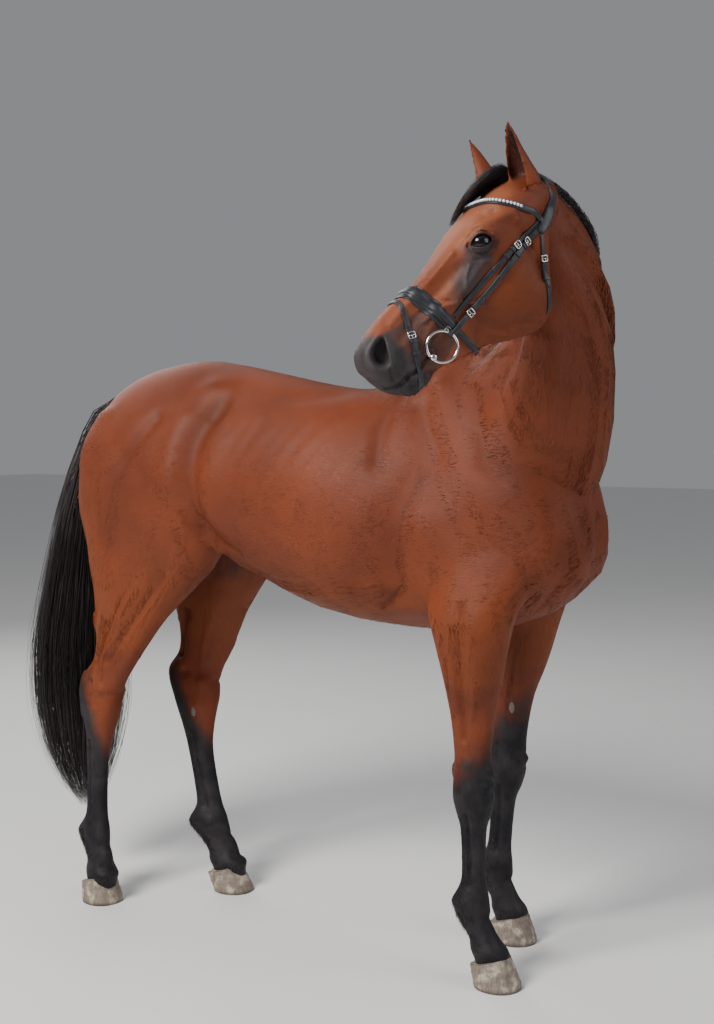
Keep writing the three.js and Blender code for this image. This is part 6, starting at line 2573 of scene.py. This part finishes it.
def add_browband(bridle):
    """The band across the forehead with its row of stones."""
    path = over_head(bridle.surface, [(54, -142), (58, -122), (64, -104), (72, -88)], 72, 0.55, -90)
    piece = ("brow_strap", "browband")
    front = path.part(0.17, 0.83)
    bridle.leather(*piece, strap(path, 15, 4.0, 1.2, ROLLED_STRAP))
    bridle.leather(*piece, strap(front, 10.5, 2.0, 4.8, FLAT_STRAP, (True, True)))
    bridle.stitch(front, 13.4, 5.0, 0.2)
    row = path.part(0.19, 0.81)
    stones = repeated("browband_clear_stones", [row.line(0, 7.9)], 0.0084, 0.0037, 0.96, stone_material())
    hand_over(stones, "stones", "browband_stones")
    cup_steel = steel_material("cup_steel")
    cups = repeated("browband_stone_cups", [row.line(0, 6.3)], 0.0084, 0.004, 1.0, cup_steel)
    hand_over(cups, "steel")


def add_headpiece(bridle):
    """The wide strap over the poll."""
    rows = [(84, -148), (58, -148), (36, -144), (12, -136), (-10, -124)]
    path = over_head(bridle.surface, rows, -27, 0, -105)

    def width(t):
        return 23 + 11 * math.sin(t * math.pi) ** 0.6

    bridle.leather("poll_strap", "headpiece", strap(path, width, 5.0, 1.0, ROLLED_STRAP, (True, True)))
    bridle.stitch(path, width, 5.2, 3.4)


# The two straps down each cheek: places along the head and out of it.
HANGER_ROWS = [(66, -132), (98, -126), (146, -122), (190, -120), (235, -120), (300, -121), (366, -125)]
CHEEK_ROWS = [
    (66, -143), (98, -142), (150, -137), (200, -139), (255, -144), (300, -146), (345, -145), (408, -145),
]
BIT_BUCKLE_AT = 0.83  # of the cheek strap, where the bit is buckled on


def cheek_lift(t):
    """How far the cheek strap stands off the skin: it rises over the bit's ring."""
    return 1.0 + 9 * smooth((t - 0.74) / 0.2)


def add_cheek_strap(bridle, path, width, lift, leather, steel, top, bottom):
    """A strap down the cheek, doubled below its buckle and held by two loops."""
    bridle.leather(*leather, strap(path, width, 3.0, lift))
    bridle.stitch(path, width, lambda t: lift(t) + 3.1)
    bridle.leather(*leather, strap(path.part(top - 0.02, bottom), width, 2.8, 4.2, tips=(False, True)),
                   *two_keepers(path, (top + 0.05, top + 0.13), width, 7.2, 6.5, 0.5))
    bridle.steel(*steel, buckle(path, top, width + 4.5, 15, 5.6))


def add_cheeks(bridle, name, hand):
    """The noseband's hanger and the bit's cheek strap on one side."""
    hanger, cheek = (head_path(bridle.surface, hand, rows) for rows in (HANGER_ROWS, CHEEK_ROWS))
    add_cheek_strap(bridle, hanger, 11.5, lambda t: 1.0,
                    (f"noseband_hanger_{name}", f"noseband_cheek_{name}"),
                    (f"noseband_fastening_{name}", f"noseband_buckle_{name}"), 0.36, 0.66)
    leather = (f"bit_cheekpiece_{name}", f"bit_cheek_{name}")
    add_cheek_strap(bridle, cheek, 13, cheek_lift, leather,
                    (f"cheek_fastening_{name}", f"cheek_buckle_{name}"), 0.21, 0.52)
    start = BIT_BUCKLE_AT - 0.15
    low = cheek.part(start, BIT_BUCKLE_AT + 0.01)
    bridle.leather(*leather, strap(low, 12, 2.6, lambda t: cheek_lift(start + 0.16 * t) + 3.2,
                                   tips=(True, False)))
    for back in (0.05, 0.12):
        share = BIT_BUCKLE_AT - back
        bridle.leather(*leather, keeper(cheek, share, 13, 7.2, 6.5, cheek_lift(share)))
    bridle.steel(f"bit_fastening_{name}", f"bit_buckle_{name}",
                 buckle(cheek, BIT_BUCKLE_AT, 17.5, 15, cheek_lift(BIT_BUCKLE_AT) + 4.8))


BIT_RING = 36  # its radius in millimetres
# The boss of the bit by the ring: how far out, and its radius there.
BIT_BOSS = ((-9, 4.5), (-8, 7), (-3, 8.2), (4, 8.2), (8, 7.2), (9.5, 4))


def add_bit(bridle, name, hand):
    """The snaffle's ring, boss and bar on one side, and the strap's fold round the ring."""
    u, v = unit(ALONG - hand * 0.1 * LEFT), unit(OUT - hand * 0.12 * LEFT)
    centre = on_head(441, hand * 63, -144)
    angle = turns(64)
    circle = centre + BIT_RING * np.outer(np.cos(angle), u) + BIT_RING * np.outer(np.sin(angle), v)
    out = unit(np.cross(u, v)) * (1 if np.cross(u, v) @ LEFT * hand > 0 else -1)
    boss = on_head(474, hand * 61, -144)
    middle = on_head(474, hand * 30, -142)
    rings = [oval(boss + out * d, u, v, r, r, 20) for d, r in BIT_BOSS]
    bridle.steel(f"snaffle_ring_{name}", f"bit_ring_{name}", tube(circle, 3.3, True, 14), loft(rings),
                 tube([middle, boss], 5.5, False, 14))
    bridle.leather(f"bit_cheekpiece_{name}", f"bit_cheek_{name}", bit_loop(centre, u, v, out))


def bit_loop(centre, u, v, out):
    """The fold of the cheek strap round the ring."""
    spoke = unit(-0.93 * u + 0.12 * v)
    ring_at = centre + BIT_RING * spoke
    side = unit(np.cross(out, spoke))
    angle = np.radians(np.arange(0, 360, 20))
    middle = [ring_at + spoke * (5.2 * math.cos(a) - 1) + out * 5.2 * math.sin(a) for a in angle]
    return loft([oval(m, side, unit(m - ring_at), 6.2, 1.3, 12, 4) for m in middle], True)


# The throat strap: places along the head and out of it, then places along it and to the side under the jaw.
THROAT_ROWS = [
    (84, -158), (92, -166), (108, -182), (124, -202), (142, -226), (162, -252), (184, -278), (202, -292),
]
THROAT_BELOW = ((212, 34), (216, 22), (219, 10), (220, 0))


def throat_width(t):
    """The strap's width: thin at the top, wider where its buckle end is doubled."""
    return 9 + 2.5 * smooth((t - 0.38) / 0.08)


def add_throatlatch(bridle, name, hand):
    """Half of the strap under the throat, with its buckle."""
    on = bridle.surface
    path = head_path(on, hand, THROAT_ROWS)
    below = [on.jaw(s, hand * left) for s, left in THROAT_BELOW]
    path = Path(list(zip(path.at, path.normal)) + below, rounds=5)
    piece = (f"throat_strap_{name}", f"throatlatch_{name}")
    bridle.leather(*piece, strap(path, throat_width, 3.0, 1.4))
    bridle.stitch(path, throat_width, 4.4)
    bridle.leather(*piece, strap(path.part(0.36, 0.66), 10.5, 2.6, 4.4, tips=(False, True)),
                   *two_keepers(path, (0.43, 0.58), 11.5, 7.4, 6.5, 0.8))
    bridle.steel(f"throat_buckle_{name}", None, buckle(path, 0.37, 15.5, 14, 5.6))


class HORSE_OT_bridle(bpy.types.Operator):
    """Makes the bridle: straps laid on the skin, buckles, keepers, stitches, stones and snaffle rings"""

    bl_idname = "horse.bridle"
    bl_label = "Bridle"

    def execute(self, context):
        bridle = Bridle(bpy.data.objects["horse_skin"].data)
        add_noseband(bridle)
        add_flash(bridle)
        add_browband(bridle)
        add_headpiece(bridle)
        for name, hand in HANDS.items():
            add_cheeks(bridle, name, hand)
            add_bit(bridle, name, hand)
            add_throatlatch(bridle, name, hand)
        bridle.make()
        return {"FINISHED"}


class HORSE_PT_panel(bpy.types.Panel):
    """Lists the horse's pieces"""

    bl_idname = "HORSE_PT_panel"
    bl_label = "Bay horse"
    bl_space_type = "VIEW_3D"
    bl_region_type = "UI"
    bl_category = "Horse"

    def draw(self, context):
        column = self.layout.column()
        for operator in OPERATORS:
            column.operator(operator.bl_idname)


GROUPS = {"horse_skin": SkinSizes, "horse_coat": CoatColours, "horse_stage": StageSizes}
OPERATORS = (
    HORSE_OT_stage, HORSE_OT_skin, HORSE_OT_eyes, HORSE_OT_hooves, HORSE_OT_chestnuts, HORSE_OT_bridle,
    HORSE_OT_coat, HORSE_OT_long_hair, HORSE_OT_tail, HORSE_OT_mane, HORSE_OT_forelock,
)


def register():
    for owner in (*GROUPS.values(), *OPERATORS, HORSE_PT_panel):
        bpy.utils.register_class(owner)
    for name, group in GROUPS.items():
        setattr(bpy.types.Scene, name, PointerProperty(type=group))


def unregister():
    for name in GROUPS:
        delattr(bpy.types.Scene, name)
    for owner in reversed((*GROUPS.values(), *OPERATORS, HORSE_PT_panel)):
        bpy.utils.unregister_class(owner)


def main():
    register()
    for operator in OPERATORS:
        group, name = operator.bl_idname.split(".")
        getattr(getattr(bpy.ops, group), name)()


if __name__ == "__main__":
    main()
